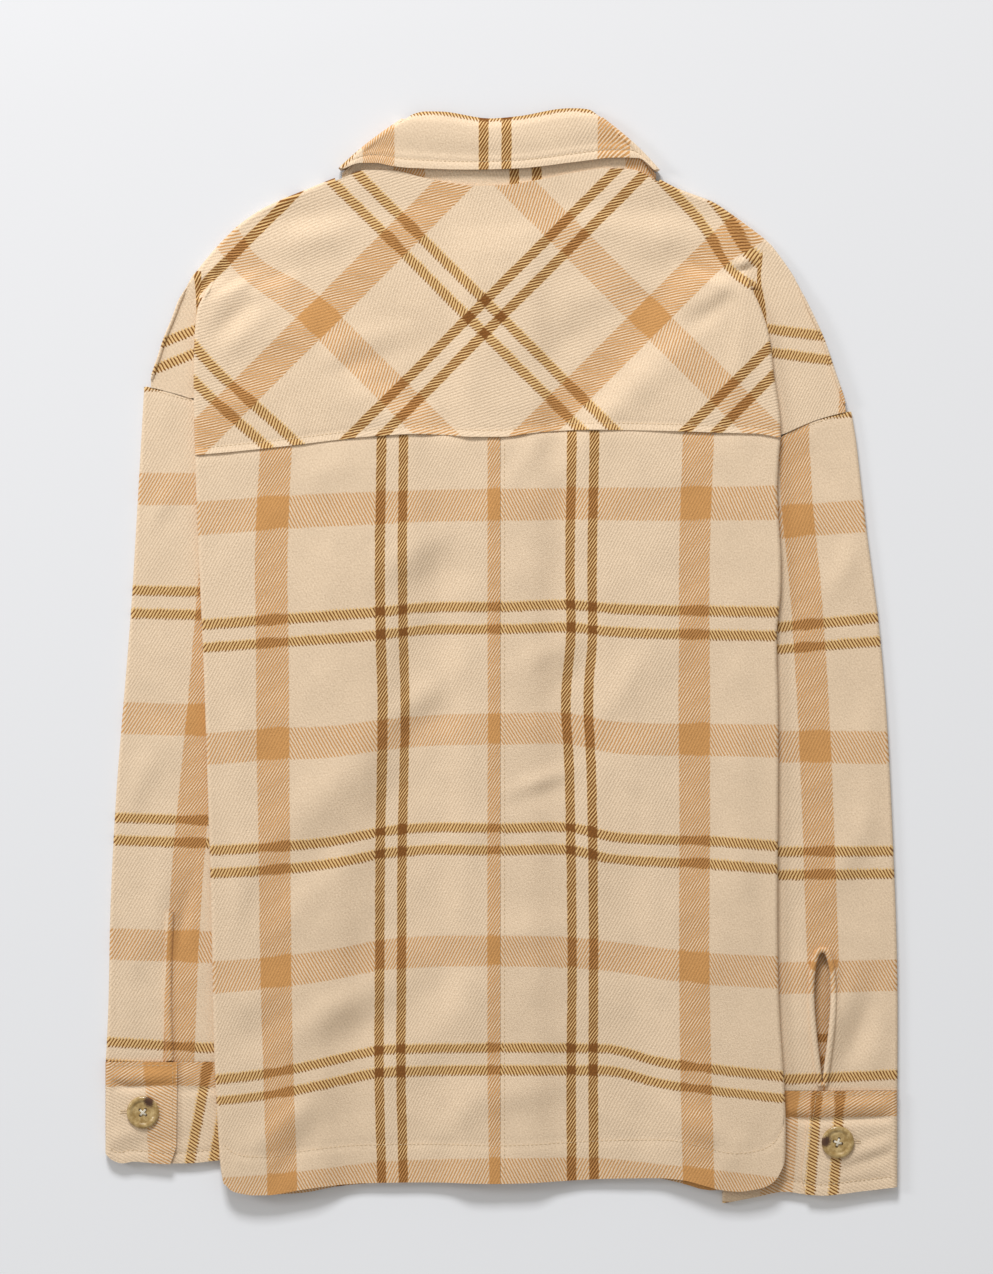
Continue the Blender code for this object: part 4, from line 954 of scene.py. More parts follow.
# How the waves turn with the seed, bend along and across, and shift from one to the next
RIPPLE_TURN = 1.7
RIPPLE_BEND = 0.37
RIPPLE_ASIDE = 31
RIPPLE_SHIFT = 1.3
# A stitched line pulls the cloth in: depth, half width
STITCH_DEPTH = 0.6
STITCH_WIDTH = 1.5
SEAM_LIFT = 1.0
SEAM_LIFT_RUN = 7
YOKE_STITCH = 5.0
HEM_DEPTH = 27
SEAM_DIP = 0.5
SEAM_DIP_WIDTH = 2.2
CENTRE_STITCH_X = 1.7
CENTRE_STITCH_DEPTH = STITCH_DEPTH * 0.6
ARMHOLE_STITCH = 1.8
HEM_LIFT = 0.35
HEM_LIFT_RUN = 2
# Gathers beside stitched lines: pitch, height, reach
YOKE_PUCKERS = (8.5, 0.12, 5)
HEM_PUCKERS = (9.5, 0.16, 7)
CUFF_PUCKERS = (8, 0.1, 5)


def ripples(x, y, seed):
    """Low, soft unevenness of cloth that lies flat: long waves and short ones."""
    total = 0.0
    for k in range(RIPPLE_WAVES):
        angle = seed * RIPPLE_TURN + k * GOLDEN_ANGLE
        short = k % 2
        least, step = SHORT_WAVE if short else LONG_WAVE
        length = least + step * ((k * 3 + seed) % WAVE_STEPS)
        wave = (x * math.cos(angle) + y * math.sin(angle)) * 2 * math.pi / length
        aside = x * math.sin(angle) - y * math.cos(angle)
        bent = np.sin(wave * RIPPLE_BEND + seed) + np.sin(aside / RIPPLE_ASIDE + k)
        total = total + (SHORT_RIPPLE if short else LONG_RIPPLE) * np.sin(wave + RIPPLE_SHIFT * k + bent)
    return total


def trough(distance, depth=STITCH_DEPTH, width=STITCH_WIDTH):
    return -depth * np.exp(-((distance / width) ** 2))


def puckers(along, distance, pitch, height, reach):
    """Small gathers beside a stitched line."""
    wave = np.sin(along * 2 * math.pi / pitch + 1.2 * np.sin(along * 0.11))
    return height * wave * np.exp(-((distance / reach) ** 2))


def back_relief(side, x, y):
    out = np.abs(x)
    calm = smooth((follow(BODY_EDGE[side], y) - INSET - out) / FOLDS_CALM)
    from_seam = follow(YOKE_SEAM, x) - y
    from_hem = y - follow(HEM, x)
    relief = calm * (folds(BACK_FOLDS, x, y) + ripples(x, y, 2))
    relief = relief + trough(from_seam, SEAM_DIP, SEAM_DIP_WIDTH)
    relief = relief + trough(x - CENTRE_SEAM_X, SEAM_DIP, SEAM_DIP_WIDTH)
    relief = relief + trough(x - CENTRE_STITCH_X, CENTRE_STITCH_DEPTH)
    relief = relief + trough(from_hem - HEM_DEPTH)
    relief = relief + HEM_LIFT * smooth((HEM_DEPTH - from_hem) / HEM_LIFT_RUN)
    return relief + puckers(x, from_hem - HEM_DEPTH, *HEM_PUCKERS)


# Back panels

def back_panel(side):
    sign = SIDES[side]
    rows = []
    for r in range(BACK_ROWS + 1):
        share = r / BACK_ROWS
        row = []
        for c in range(BACK_CELLS + 1):
            u = 1 - (1 - c / BACK_CELLS) ** BACK_SPREAD
            guess = lerp(follow(YOKE_SEAM, sign * HALF_BODY * u), follow(HEM, sign * HALF_BODY * u), share)
            edge = follow(BODY_EDGE[side], guess)
            out = lerp(sign * CENTRE_SEAM_X + HALF_GAP, edge - INSET, u)
            y = lerp(follow(YOKE_SEAM, sign * out) - HALF_GAP, follow(HEM, sign * out), share)
            row.append((out, y, back_height(side, out, y)))
        out, y, z = row[-1]
        for turned_out, _, turned_z in roll((out, y), (1, 0), FOLD_RADIUS, z - FOLD_RADIUS):
            corner = share ** CORNER_POWER * (follow(HEM, sign * turned_out) - y)
            row.append((turned_out, y + corner, turned_z))
        row.append((out - SIDE_SEAM + INSET, y, z - 2 * FOLD_RADIUS))
        rows.append(mirror_out(side, row))
    tucked = [(x, y + SEAM_TUCK, z - SEAM_TUCK_DEPTH) for x, y, z in rows[0][:BACK_CELLS]]
    tucked += rows[0][BACK_CELLS:]
    grid = fine_grid([tucked] + rows)
    grid[..., 2] += back_relief(side, grid[..., 0], grid[..., 1])
    stripes = BACK_LEFT_STRIPES if side == "left" else BACK_RIGHT_STRIPES
    check = panel_check(grid, stripes, BACK_COURSES)
    return shell(f"back_{side}_cloth", grid, CLOTH, check, f"back_{side}", FLANNEL)


# Yoke

def fold_points(side, y, edge):
    """The fold of the yoke over its own shoulder part: from the body's edge down to the lower layer."""
    top = YOKE_WALL + OVER_SLEEVE
    turns = [math.radians(a) for a in ROLL_ANGLES]
    folded = [(FOLD_RADIUS * math.cos(a), top - FOLD_RADIUS + FOLD_RADIUS * math.sin(a)) for a in turns]
    lower = top - 2 * FOLD_RADIUS
    folded += [(-UNDER_FOLD, lower), (-UNDER_FOLD - INNER_TURN, lower - INNER_TURN),
               (-UNDER_FOLD, lower - 2 * INNER_TURN)]
    risen = smooth((PINCH_Y[side] + PINCH_AHEAD - y) / PINCH_RISE)
    tucked = smooth((PINCH_Y[side] - y) / PINCH_TUCK)
    drop_from = shoulder_point(side, out=SHOULDER_TOP[side])[0][1]
    points = []
    for k, (shift, z) in enumerate(folded, 1):
        drop = shoulder_point(side, out=SHOULDER_TOP[side] + PINCH_SPREAD * k)[0][1] - drop_from
        out = edge - INSET + lerp(PINCH_SPREAD * k, shift, tucked)
        points.append((out, y + (1 - tucked) * drop, lerp(YOKE_WALL, z, risen)))
    return points


def yoke_half(side):
    """Rows of the yoke from the middle outwards, with the shoulder roll above them."""
    sign = SIDES[side]
    neck, top_out = NECK_HALF[side], SHOULDER_TOP[side]
    places = [neck * c / NECK_CELLS for c in range(NECK_CELLS + 1)]
    places += [lerp(neck + NECK_START, top_out, c / SHOULDER_CELLS) for c in range(1, SHOULDER_CELLS + 1)]
    body_cells = len(places) - 1
    tops, normals = [], []
    for c, spot in enumerate(places):
        if c < NECK_CELLS:
            tops.append(np.array([spot, follow(NECK_BACK, sign * spot) - HALF_GAP]))
            normals.append(None)
        else:
            point, normal = shoulder_point(side, out=max(spot, neck + NECK_START))
            tops.append(point)
            normals.append(normal)
    rows = []
    for r in range(YOKE_ROWS + 1):
        share = r / YOKE_ROWS
        guess = lerp(tops[-1][1], follow(YOKE_SEAM, sign * HALF_BODY), share)
        seam_edge = follow(BODY_EDGE[side], guess) - INSET
        row = []
        for c in range(body_cells + 1):
            stretch = lerp(1.0, seam_edge / tops[-1][0], share)
            out = tops[c][0] * stretch
            seam = follow(YOKE_SEAM, sign * out) + HALF_GAP
            y = lerp(tops[c][1], seam, share)
            row.append((out, y, back_height(side, out, y)))
        out, y, z = row[-1]
        blend = min(share * TOP_BLEND, 1)
        row[-1] = (lerp(tops[-1][0], seam_edge, blend), y, lerp(YOKE_WALL, z, blend))
        row += fold_points(side, y, row[-1][0] + INSET)
        rows.append(row)
    add_wing(side, rows, WING_ROWS[side], WING_CELLS, YOKE_WALL, start=WING_START)
    for row in rows[WING_ROWS[side] + 1:]:
        k = body_cells + len(ROLL_ANGLES) + 1
        out, y, z = row[k]
        row[k] = (row[body_cells][0] - SIDE_SEAM + INSET, y, z)
    return shoulder_roll(side, rows, normals), body_cells


def add_wing(side, rows, last, cells, z, start=0.0, inset=INSET):
    """Adds the part outside the fold, down to the armhole seam, which row number last meets."""
    tip_y = SHOULDER[side][-1][1] + TIP_INSIDE
    inner = [np.array(row[-1][:2]) for row in rows]
    first, end = inner[0], inner[last]
    tip_out = shoulder_point(side, y=tip_y, inset=inset)[0][0]
    for a in range(1, cells + 1):
        u = a / cells
        top = shoulder_point(side, y=lerp(first[1] + start, tip_y, u), inset=inset)[0]
        low_out = lerp(end[0], tip_out, u)
        low = np.array([low_out, straight(ARMHOLE[side], low_out) + HALF_GAP])
        for r, row in enumerate(rows):
            share = min(r / last, 1.0)
            shift = inner[r] - lerp(first, end, share) if r <= last else np.zeros(2)
            point = lerp(top, low, share) + (1 - u) * shift
            row.append((point[0], point[1], z))


def shoulder_roll(side, rows, normals):
    """Rows above the first one, which turn the yoke over the shoulder line."""
    first = rows[0]
    above = [[] for _ in ROLL_ANGLES]
    for c, (out, y, z) in enumerate(first):
        if c < len(normals) and normals[c] is None:
            for line in above:
                line.append((out, y, z))
            continue
        if c < len(normals):
            normal = normals[c]
        else:
            ahead, behind = first[min(c + 1, len(first) - 1)], first[c - 1]
            along = np.array([ahead[0] - behind[0], ahead[1] - behind[1]])
            along = along / np.linalg.norm(along)
            normal = np.array([-along[1], along[0]])
        floor = front_height(side, out, y, False)
        radius = (z - floor) / 2
        for line, point in zip(above, roll((out, y), normal, radius, floor + radius)):
            line.append(point)
    return above[::-1] + rows


def yoke_relief(grid, on_wing):
    x, y = grid[..., 0], grid[..., 1]
    relief = np.zeros(x.shape)
    for side in SIDES:
        mine = (x < 0) == (side == "left")
        calm = smooth((follow(BODY_EDGE[side], y) - INSET - np.abs(x)) / FOLDS_CALM)
        relief = relief + mine * calm * (folds(YOKE_FOLDS, x, y) + ripples(x, y, 5))
    relief = relief + folds(PINCH_FOLDS, x, y)
    from_seam = y - follow(YOKE_SEAM, x)
    lifted = SEAM_LIFT * smooth((SEAM_LIFT_RUN - from_seam) / SEAM_LIFT_RUN)
    stitched = trough(from_seam - YOKE_STITCH) + puckers(x, from_seam - YOKE_STITCH, *YOKE_PUCKERS)
    return relief + (1 - on_wing) * (lifted + stitched)


def yoke():
    left, cells = yoke_half("left")
    right, _ = yoke_half("right")
    rows = []
    for left_row, right_row in zip(left, right):
        rows.append(mirror_out("left", left_row)[:0:-1] + mirror_out("right", right_row))
    middle = len(left[0]) - 1
    extra = len(ROLL_ANGLES)

    def keep(r, c):
        side = "left" if c < middle else "right"
        from_middle = middle - 1 - c if c < middle else c - middle
        if r < extra:
            return from_middle >= NECK_CELLS
        if r - extra < WING_ROWS[side]:
            return True
        return from_middle < cells + len(ROLL_ANGLES) + 1

    kept = fine_keep(len(rows), len(rows[0]), keep)
    grid = fine_grid(rows)
    columns = np.abs(np.arange(grid.shape[1]) / FINE - middle)
    past_fold = smooth((columns - cells - len(ROLL_ANGLES)) / 3)[None, :] * np.ones(grid.shape[:2])
    check = bias_check(grid)
    patch = wing_patch(grid, past_fold)
    grid[..., 2] += yoke_relief(grid, past_fold)
    grid[..., 2] = np.maximum(grid[..., 2], FLOOR_WALL)
    return shell("yoke_cloth", grid, CLOTH, check, "yoke", FLANNEL, keep=kept, slot="flannel_bias",
                 patch=patch)


# Fronts

def front_shares(outer):
    """Columns of a front as shares of its width, close together where it rises over the buttons."""
    near = [(spot + LAP_HALF) / (outer + LAP_HALF) for spot in (-LAP_HALF, *FRONT_COLUMNS)]
    far = FRONT_CELLS - len(near) + 1
    return near + [lerp(near[-1], 1, c / far) for c in range(1, far + 1)]


def front_top_y(side, out):
    if abs(out) < NECK_HALF[side]:
        return min(front_neck_y(SIDES[side] * out), follow(NECK_BACK, SIDES[side] * out)) - HALF_GAP
    guess = out
    for _ in range(4):
        spot = max(guess, NECK_HALF[side] + NECK_START)
        point, _ = shoulder_point(side, out=spot, inset=INSET + SHOULDER_GAP)
        guess += out - point[0]
    return point[1]


def front_rows(side, start):
    """Rows of the front from the shoulder to the hem, from the middle to the side seam."""
    armhole_y = straight(ARMHOLE[side], BODY_EDGE_AT_ARMHOLE[side])
    rows = []
    for r in range(FRONT_ROWS_ABOVE + FRONT_ROWS_BELOW + 1):
        above = r <= FRONT_ROWS_ABOVE
        share = r / FRONT_ROWS_ABOVE if above else (r - FRONT_ROWS_ABOVE - 1) / (FRONT_ROWS_BELOW - 1)
        row = []
        for c, u in enumerate(front_shares(start[0])):
            if above:
                top_y = front_top_y(side, lerp(-LAP_HALF, start[0], u))
                y = lerp(top_y, armhole_y + HALF_GAP, share)
                edge = follow(BODY_EDGE[side], lerp(start[1], armhole_y, share))
            else:
                y = lerp(armhole_y - ARMHOLE_STEP, follow(HEM, SIDES[side] * HALF_BODY * u), share)
                edge = follow(BODY_EDGE[side], y)
            outer = lerp(start[0], edge - SIDE_SEAM - CURVED_GAP, min(r / 2, 1))
            out = lerp(-LAP_HALF, outer, u)
            on_floor = c == FRONT_CELLS and above
            z = FLOOR_WALL if on_floor else front_height(side, out, y, side == "left")
            row.append((out, y, z))
        rows.append(row)
    return rows


def front_panel(side):
    inset = INSET + SHOULDER_GAP
    start, _ = shoulder_point(side, out=SHOULDER_TOP[side] - SIDE_SEAM, inset=inset)
    rows = front_rows(side, start)
    add_wing(side, rows, FRONT_ROWS_ABOVE, FRONT_WING_CELLS, FLOOR_WALL, inset=inset)

    def keep(r, c):
        return c < FRONT_CELLS or r < FRONT_ROWS_ABOVE

    rows = [mirror_out(side, row) for row in rows]
    kept = fine_keep(len(rows), len(rows[0]), keep, COARSE, COARSE)
    grid = fine_grid(rows, COARSE, COARSE)
    check = panel_check(grid, BACK_RIGHT_STRIPES, BACK_COURSES)
    return shell(f"front_{side}_cloth", grid, CLOTH, check, f"front_{side}", FLANNEL, keep=kept)


# Collar

def collar_ring(side, depth_line, half_line, top_z, floor_z, lower):
    """One half of a flattened ring, from the middle of the back round the side to the front edge."""
    radius = (top_z - floor_z) / 2
    rows = []
    for r in range(COLLAR_ROWS + 1):
        share = r / COLLAR_ROWS
        half = half_line(side, share)
        row = []
        for c in range(COLLAR_BACK_CELLS + 1):
            n = c / COLLAR_BACK_CELLS
            row.append((n * half, depth_line(side, n, share), top_z))
        out, y, _ = row[-1]
        row += roll((out, y), (1, 0), radius, top_z - radius)
        for c in range(1, COLLAR_FRONT_CELLS + 1):
            n = 1 - c / COLLAR_FRONT_CELLS
            front_out = lerp(half, COLLAR_FRONT_OUT, 1 - n)
            row.append((front_out, lower(side, n, share, y), floor_z))
        rows.append(mirror_out(side, row))
    return rows


def leaf_half(side, share):
    fold, edge = LEAF_HALF[side]
    reach = lerp(fold, edge, share) + LEAF_BULGE * math.sin(math.pi * share)
    return reach - LEAF_CLOTH / 2 - (LEAF_TOP - LEAF_CLOTH / 2) / 2


def leaf_y(side, n, share):
    spot = SIDES[side] * n
    return lerp(follow(LEAF_FOLD, spot), follow(LEAF_EDGE, spot), share)


def leaf_front_y(side, n, share, y):
    return y - (COLLAR_DROP + COLLAR_POINT * share) * (1 - n * n)


def stand_half(side, share):
    return leaf_half(side, lerp(STAND_START, 1, share)) - STAND_TUCK * (1 - share)


def stand_y(side, n, share):
    out = n * stand_half(side, 1.0)
    low = follow(NECK_BACK, SIDES[side] * out) + CURVED_GAP
    return lerp(leaf_y(side, n, 0.0) - STAND_MARGIN, low, share)


def stand_front_y(side, n, share, y):
    out = lerp(stand_half(side, share), COLLAR_FRONT_OUT, 1 - n)
    return lerp(leaf_front_y(side, n, 0.0, y) - STAND_FRONT_TUCK, front_neck_y(out) + CURVED_GAP, share)


def join_halves(left, right):
    return [left_row[:0:-1] + right_row for left_row, right_row in zip(left, right)]


# The stand's lower edge goes under the yoke
STAND_UNDER = 2.8
STAND_DIP = 1.4
COLLAR_EDGE_LIFT = 1.0
COLLAR_CROWN = 1.3
COLLAR_FOLD_DROP = 2.2
COLLAR_DEPTH = 38
COLLAR_STITCH = 5.7
# Shares of the leaf's depth: end of the rounded fold, start of the raised edge
FOLD_SHARE = 0.2
EDGE_SHARE = 0.6
CROWN_SHARE = 1.4
STAND_TUCKED_FROM = 0.72
STAND_TUCKED_RUN = 0.22


def depth_shares(grid):
    return np.linspace(0, 1, grid.shape[0])[:, None] * np.ones(grid.shape[:2])


def leaf_relief(grid):
    share = depth_shares(grid)
    crown = COLLAR_CROWN * np.sin(math.pi * np.clip(share * CROWN_SHARE, 0, 1))
    crown = crown - COLLAR_FOLD_DROP * smooth(1 - share / FOLD_SHARE)
    crown = crown + COLLAR_EDGE_LIFT * smooth((share - EDGE_SHARE) / (1 - EDGE_SHARE))
    stitched = trough((1 - share) * COLLAR_DEPTH - COLLAR_STITCH)
    return crown + stitched + ripples(grid[..., 0], grid[..., 1], 8)


def collar():
    leaf = [collar_ring(side, leaf_y, leaf_half, LEAF_TOP, LEAF_CLOTH / 2, leaf_front_y)
            for side in SIDES]
    grid = fine_grid(join_halves(*leaf), FINE, FINE)
    shown = grid[..., 2] > LEAF_TOP - 1
    grid[..., 2] += shown * leaf_relief(grid)
    check = panel_check(grid, COLLAR_STRIPES, COLLAR_COURSES)
    leaf_piece = shell("collar_leaf_cloth", grid, LEAF_CLOTH, check, "collar_leaf", FLANNEL)
    stand = [collar_ring(side, stand_y, stand_half, STAND_TOP, STAND_FLOOR, stand_front_y)
             for side in SIDES]
    grid = fine_grid(join_halves(*stand), FINE, FINE)
    check = panel_check(grid, STAND_STRIPES, STAND_COURSES)
    tucked = smooth((depth_shares(grid) - STAND_TUCKED_FROM) / STAND_TUCKED_RUN)
    tucked = (grid[..., 2] > STAND_TOP - 1) * tucked
    grid[..., 1] -= tucked * STAND_UNDER
    grid[..., 2] -= tucked * STAND_DIP
    stand_piece = shell("collar_stand_cloth", grid, CLOTH, check, "collar_stand", FLANNEL)
    return leaf_piece, stand_piece


# Sleeves

def sleeve_places(side, y):
    """Columns of the sleeve from its inner fold to its outer fold, two of them at the edge of the body."""
    inner = follow(SLEEVE_INNER[side], y) + SLEEVE_INSET
    outer = follow(SLEEVE_OUTER[side], y) - SLEEVE_INSET
    edge = follow(BODY_EDGE[side], y)
    hidden = [lerp(inner, edge + EDGE_COLUMNS[0], u / HIDDEN_CELLS) for u in range(HIDDEN_CELLS + 1)]
    shown = [lerp(edge + EDGE_COLUMNS[1], outer, u / SHOWN_CELLS) for u in range(SHOWN_CELLS + 1)]
    return hidden + shown


def sleeve_relief(side, x, y):
    out = np.abs(x)
    inside = smooth((out - follow(BODY_EDGE[side], y) - 2) / SLEEVE_CALM)
    ends = smooth((y - CUFF_SEAM_Y[side] - 4) / SLEEVE_END_CALM)
    outer = smooth((follow(SLEEVE_OUTER[side], y) - SLEEVE_INSET - out) / SLEEVE_CALM)
    lively = (folds(SLEEVE_FOLDS, x, y) + ripples(x, y, 3)) * inside * ends * outer
    from_top = straight(SLEEVE_TOP[side], out) - y
    from_cuff = y - CUFF_SEAM_Y[side]
    return lively + trough(from_top, SEAM_DIP, SEAM_DIP_WIDTH) + trough(from_cuff, SEAM_DIP, SEAM_DIP_WIDTH)


SLIT_TAKES = (-217, -232)
SLIT_REACH = 42
SLIT_WIDTH = 14


def slit_takes(side, grid):
    """The right slit takes up the tan stripe, so beside it the check starts at the stripe's edges."""
    if side == "left":
        return None
    share = smooth((SLIT_TAKES[0] - grid[..., 1]) / (SLIT_TAKES[0] - SLIT_TAKES[1]))
    from_slit = grid[..., 0] - SLITS[side]["out"]
    return np.sign(from_slit) * (1 - smooth(np.abs(from_slit) / SLIT_REACH)) * share * SLIT_WIDTH


# The cloth that shows through the slit: its courses lie higher than those of the sleeve's top
SLIT_INSIDE = {"places": (780, 890), "lines": {2: (937, 937), 2.5: (1049, 1049), 3: (1162, 1162)}}


def sleeve(side):
    bottom = CUFF_SEAM_Y[side] + HALF_GAP
    top_y = SLEEVE_TOP[side][-1][1]
    middle = (UPPER_WALL + FLOOR_WALL) / 2
    upper, under = [], []
    for r in range(SLEEVE_ROWS + 1):
        share = r / SLEEVE_ROWS
        places = sleeve_places(side, lerp(top_y, bottom, share))
        row = [(out, lerp(straight(SLEEVE_TOP[side], out) - HALF_GAP, bottom, share), UPPER_WALL)
               for out in places]
        inner_roll = roll(row[0][:2], (-1, 0), SLEEVE_FOLD, middle)[::-1]
        outer_roll = roll(row[-1][:2], (1, 0), SLEEVE_FOLD, middle)
        upper.append(mirror_out(side, inner_roll + row + outer_roll))
        low = []
        for u in UNDER_COLUMNS:
            out = lerp(places[0] + UNDER_GAP, places[-1] - UNDER_GAP, u)
            low.append((out, lerp(straight(SLEEVE_TOP[side], out) - HALF_GAP, bottom, share), FLOOR_WALL))
        under.append(mirror_out(side, low))
    grid = fine_grid(upper)
    flat = smooth((grid[..., 2] - middle) / SLEEVE_FOLD)
    grid[..., 2] += flat * sleeve_relief(side, grid[..., 0], grid[..., 1])
    check = panel_check(grid, SLEEVE_STRIPES[side], SLEEVE_COURSES[side])
    cutter = slit_cutter(side)
    top = shell(f"sleeve_{side}_upper_cloth", grid, CLOTH, check, f"sleeve_{side}_upper", FLANNEL,
                cutter=cutter, taken=slit_takes(side, grid))
    bpy.data.objects.remove(cutter, do_unlink=True)
    grid = fine_grid(under, COARSE, COARSE)
    courses = SLEEVE_COURSES["left"] if side == "left" else SLIT_INSIDE
    check = panel_check(grid, SLEEVE_STRIPES[side], courses)
    low = shell(f"sleeve_{side}_under_cloth", grid, CLOTH, check, f"sleeve_{side}_under", FLANNEL)
    return top, low


def almond(side, margin):
    """Left and right lip of the slit, as rows of (out of the left lip, out of the right lip, y)."""
    slit = SLITS[side]
    rows = []
    for i in range(SLIT_POINTS + 1):
        t = i / SLIT_POINTS
        half = slit["half"] * math.sin(math.pi * t ** SLIT_FULLNESS) + margin
        y = lerp(slit["top"] + margin, slit["bottom"] - margin, t)
        rows.append((slit["out"] - half, slit["out"] + half, y))
    return rows


def slit_cutter(side):
    rows = almond(side, SLIT_CUT_MARGIN)
    outline = [(low, y) for low, _, y in rows] + [(high, y) for _, high, y in reversed(rows)]
    bm = bmesh.new()
    base = [bm.verts.new((SIDES[side] * out * MM, y * MM, SLIT_CUT_FROM * MM)) for out, y in outline]
    face = bm.faces.new(base)
    made = bmesh.ops.extrude_face_region(bm, geom=[face])
    lifted = [v for v in made["geom"] if isinstance(v, bmesh.types.BMVert)]
    bmesh.ops.translate(bm, verts=lifted, vec=(0, 0, SLIT_CUT_DEPTH * MM))
    bmesh.ops.recalc_face_normals(bm, faces=bm.faces)
    name = f"slit_cutter_{side}"
    return linked(name, baked(name, bm))


# Slit bindings: a narrow folded strip round the slit

BINDING_SECTION = ((-1.0, -0.6), (-0.9, 0.2), (-0.45, 0.75), (0.2, 0.8), (0.8, 0.4), (1.0, -0.5))
BINDING_LIFT = 1.7
BINDING_BOW = 1.5


def binding_loop(side):
    """Middle line of the binding, as (out, y), and its half width."""
    slit = SLITS[side]
    if side == "left":
        line = []
        for i in range(SLIT_POINTS + 1):
            t = i / SLIT_POINTS
            bow = BINDING_BOW * math.sin(math.pi * t)
            line.append((slit["out"] + bow, lerp(slit["top"] + 3, CUFF_SEAM_Y[side] + 1, t)))
        return line, slit["rim"], False
    half = slit["rim"] / 2
    rows = almond(side, half)
    line = [(low, y) for low, _, y in rows] + [(high, y) for _, high, y in reversed(rows)]
    return line, half, True


def slit_binding(side):
    line, half, closed = binding_loop(side)
    points = np.array(line, float)
    if closed:
        ahead, behind = np.roll(points, -1, 0), np.roll(points, 1, 0)
    else:
        ahead, behind = np.vstack([points[1:], points[-1:]]), np.vstack([points[:1], points[:-1]])
    along = ahead - behind
    along = along / np.maximum(np.linalg.norm(along, axis=1), 1e-6)[:, None]
    normal = np.stack([-along[:, 1], along[:, 0]], axis=1)
    base = UPPER_WALL + CLOTH / 2 + BINDING_LIFT / 2
    rows = []
    for k, point in enumerate(points):
        lift = sleeve_relief(side, np.array(SIDES[side] * point[0]), np.array(point[1]))
        row = []
        for across, up in BINDING_SECTION:
            spot = point + normal[k] * across * half
            row.append((spot[0], spot[1], base + lift + up * BINDING_LIFT))
        rows.append(mirror_out(side, row))
    if closed:
        rows.append(rows[0])
    grid = fine_grid(rows, 2, 2)
    check = panel_check(grid, SLEEVE_STRIPES[side], SLEEVE_COURSES[side])
    return shell(f"slit_binding_{side}_cloth", grid, BINDING_WALL, check, f"slit_binding_{side}", FLANNEL,
                 taken=slit_takes(side, grid))


# Cuffs

CUFF_STITCH = 7.8
CUFF_EDGE_STITCH = 3.0
# The cuff's swelling: height, its distance from the lower edge, reach
CUFF_PUFF = 0.5
CUFF_PUFF_AT = 30
CUFF_PUFF_REACH = 14
CUFF_CALM_FROM = 2
CUFF_CALM = 6
CUFF_OVER_FLOOR = 0.6
CUFF_FINE = (8, 5)


def cuff(side):
    outer = CUFF_OUTER[side] - CUFF_CLOTH / 2
    inner = CUFF_OUTER[side] - CUFF_WIDTH + CUFF_CLOTH / 2
    small = (CUFF_LOWER_LAP - CUFF_FLOOR) / 2
    large = (CUFF_UPPER_LAP - CUFF_FLOOR) / 2
    cells = range(1, CUFF_CELLS + 1)
    lap_shares = [u / CUFF_LAP_CELLS for u in range(CUFF_LAP_CELLS + 1)]
    lower = [(lerp(CUFF_UNDERLAP, inner + small, u), CUFF_LOWER_LAP) for u in lap_shares]
    turn = [(out, z) for out, _, z in roll((inner + small, 0), (-1, 0), small, CUFF_FLOOR + small)]
    floor = [(lerp(inner + small, outer - large, u / CUFF_CELLS), CUFF_FLOOR) for u in cells]
    outer_turn = roll((outer - large, 0), (1, 0), large, CUFF_FLOOR + large, CUFF_TURN_ANGLES)
    rise = [(out, z) for out, _, z in outer_turn]
    rows = []
    for r in range(CUFF_ROWS + 1):
        share = r / CUFF_ROWS
        end = lerp(*CUFF_LAP[side], share) + (CUFF_CORNER if share == 1 else 0)
        upper = [(lerp(outer - large, end, u / CUFF_CELLS), CUFF_UPPER_LAP) for u in cells]
        row = []
        for out, z in lower + turn + floor + rise + upper:
            y = lerp(CUFF_SEAM_Y[side] - HALF_GAP, follow(CUFF_BOTTOM[side], out), share)
            row.append((out, y, z))
        rows.append(mirror_out(side, row))
    grid = fine_grid(rows, *CUFF_FINE)
    x, y = grid[..., 0], grid[..., 1]
    out = np.abs(x)
    top = grid[..., 2] > CUFF_FLOOR + CUFF_OVER_FLOOR
    on_lap = grid[..., 2] > (CUFF_LOWER_LAP + CUFF_UPPER_LAP) / 2
    from_bottom = y - follow(CUFF_BOTTOM[side], out)
    relief = trough(from_bottom - CUFF_STITCH) + folds(CUFF_FOLDS, x, y)
    relief = relief + puckers(x, from_bottom - CUFF_STITCH, *CUFF_PUCKERS) + ripples(x, y, 7)
    relief = relief + CUFF_PUFF * np.exp(-(((from_bottom - CUFF_PUFF_AT) / CUFF_PUFF_REACH) ** 2))
    grid[..., 2] += top * relief * smooth((CUFF_OUTER[side] - out - CUFF_CALM_FROM) / CUFF_CALM)
    lap = panel_check(grid, CUFF_LAP_STRIPES[side], CUFF_COURSES[side])
    under = panel_check(grid, CUFF_UNDER_STRIPES[side], CUFF_COURSES[side])
    check = np.where(on_lap[..., None], lap, under)[..., ::-1]
    return shell(f"cuff_{side}_cloth", grid, CUFF_CLOTH, check, f"cuff_{side}", FLANNEL)


# Buttons

BUTTON_SEGMENTS = 64
# Profile from the middle of the face over the rim to the back: share of the radius, height
BUTTON_PROFILE = [(0.0, 1.75), (0.3, 1.8), (0.5, 1.95), (0.58, 2.1), (0.62, 2.0), (0.66, 2.15), (0.74, 2.8),
                  (0.8, 3.0), (0.87, 2.98), (0.94, 2.7), (0.985, 2.2), (1.0, 1.65), (0.97, 1.0), (0.9, 0.3),
                  (0.84, 0.02), (0.5, 0.0), (0.0, 0.0)]
BUTTON_HOLE = 1.05
BUTTON_HOLE_PITCH = 4.0
HOLE_SEGMENTS = 20
DRILL_DEPTH = 8
BUTTON_TILT = {"left": 4, "right": 118}


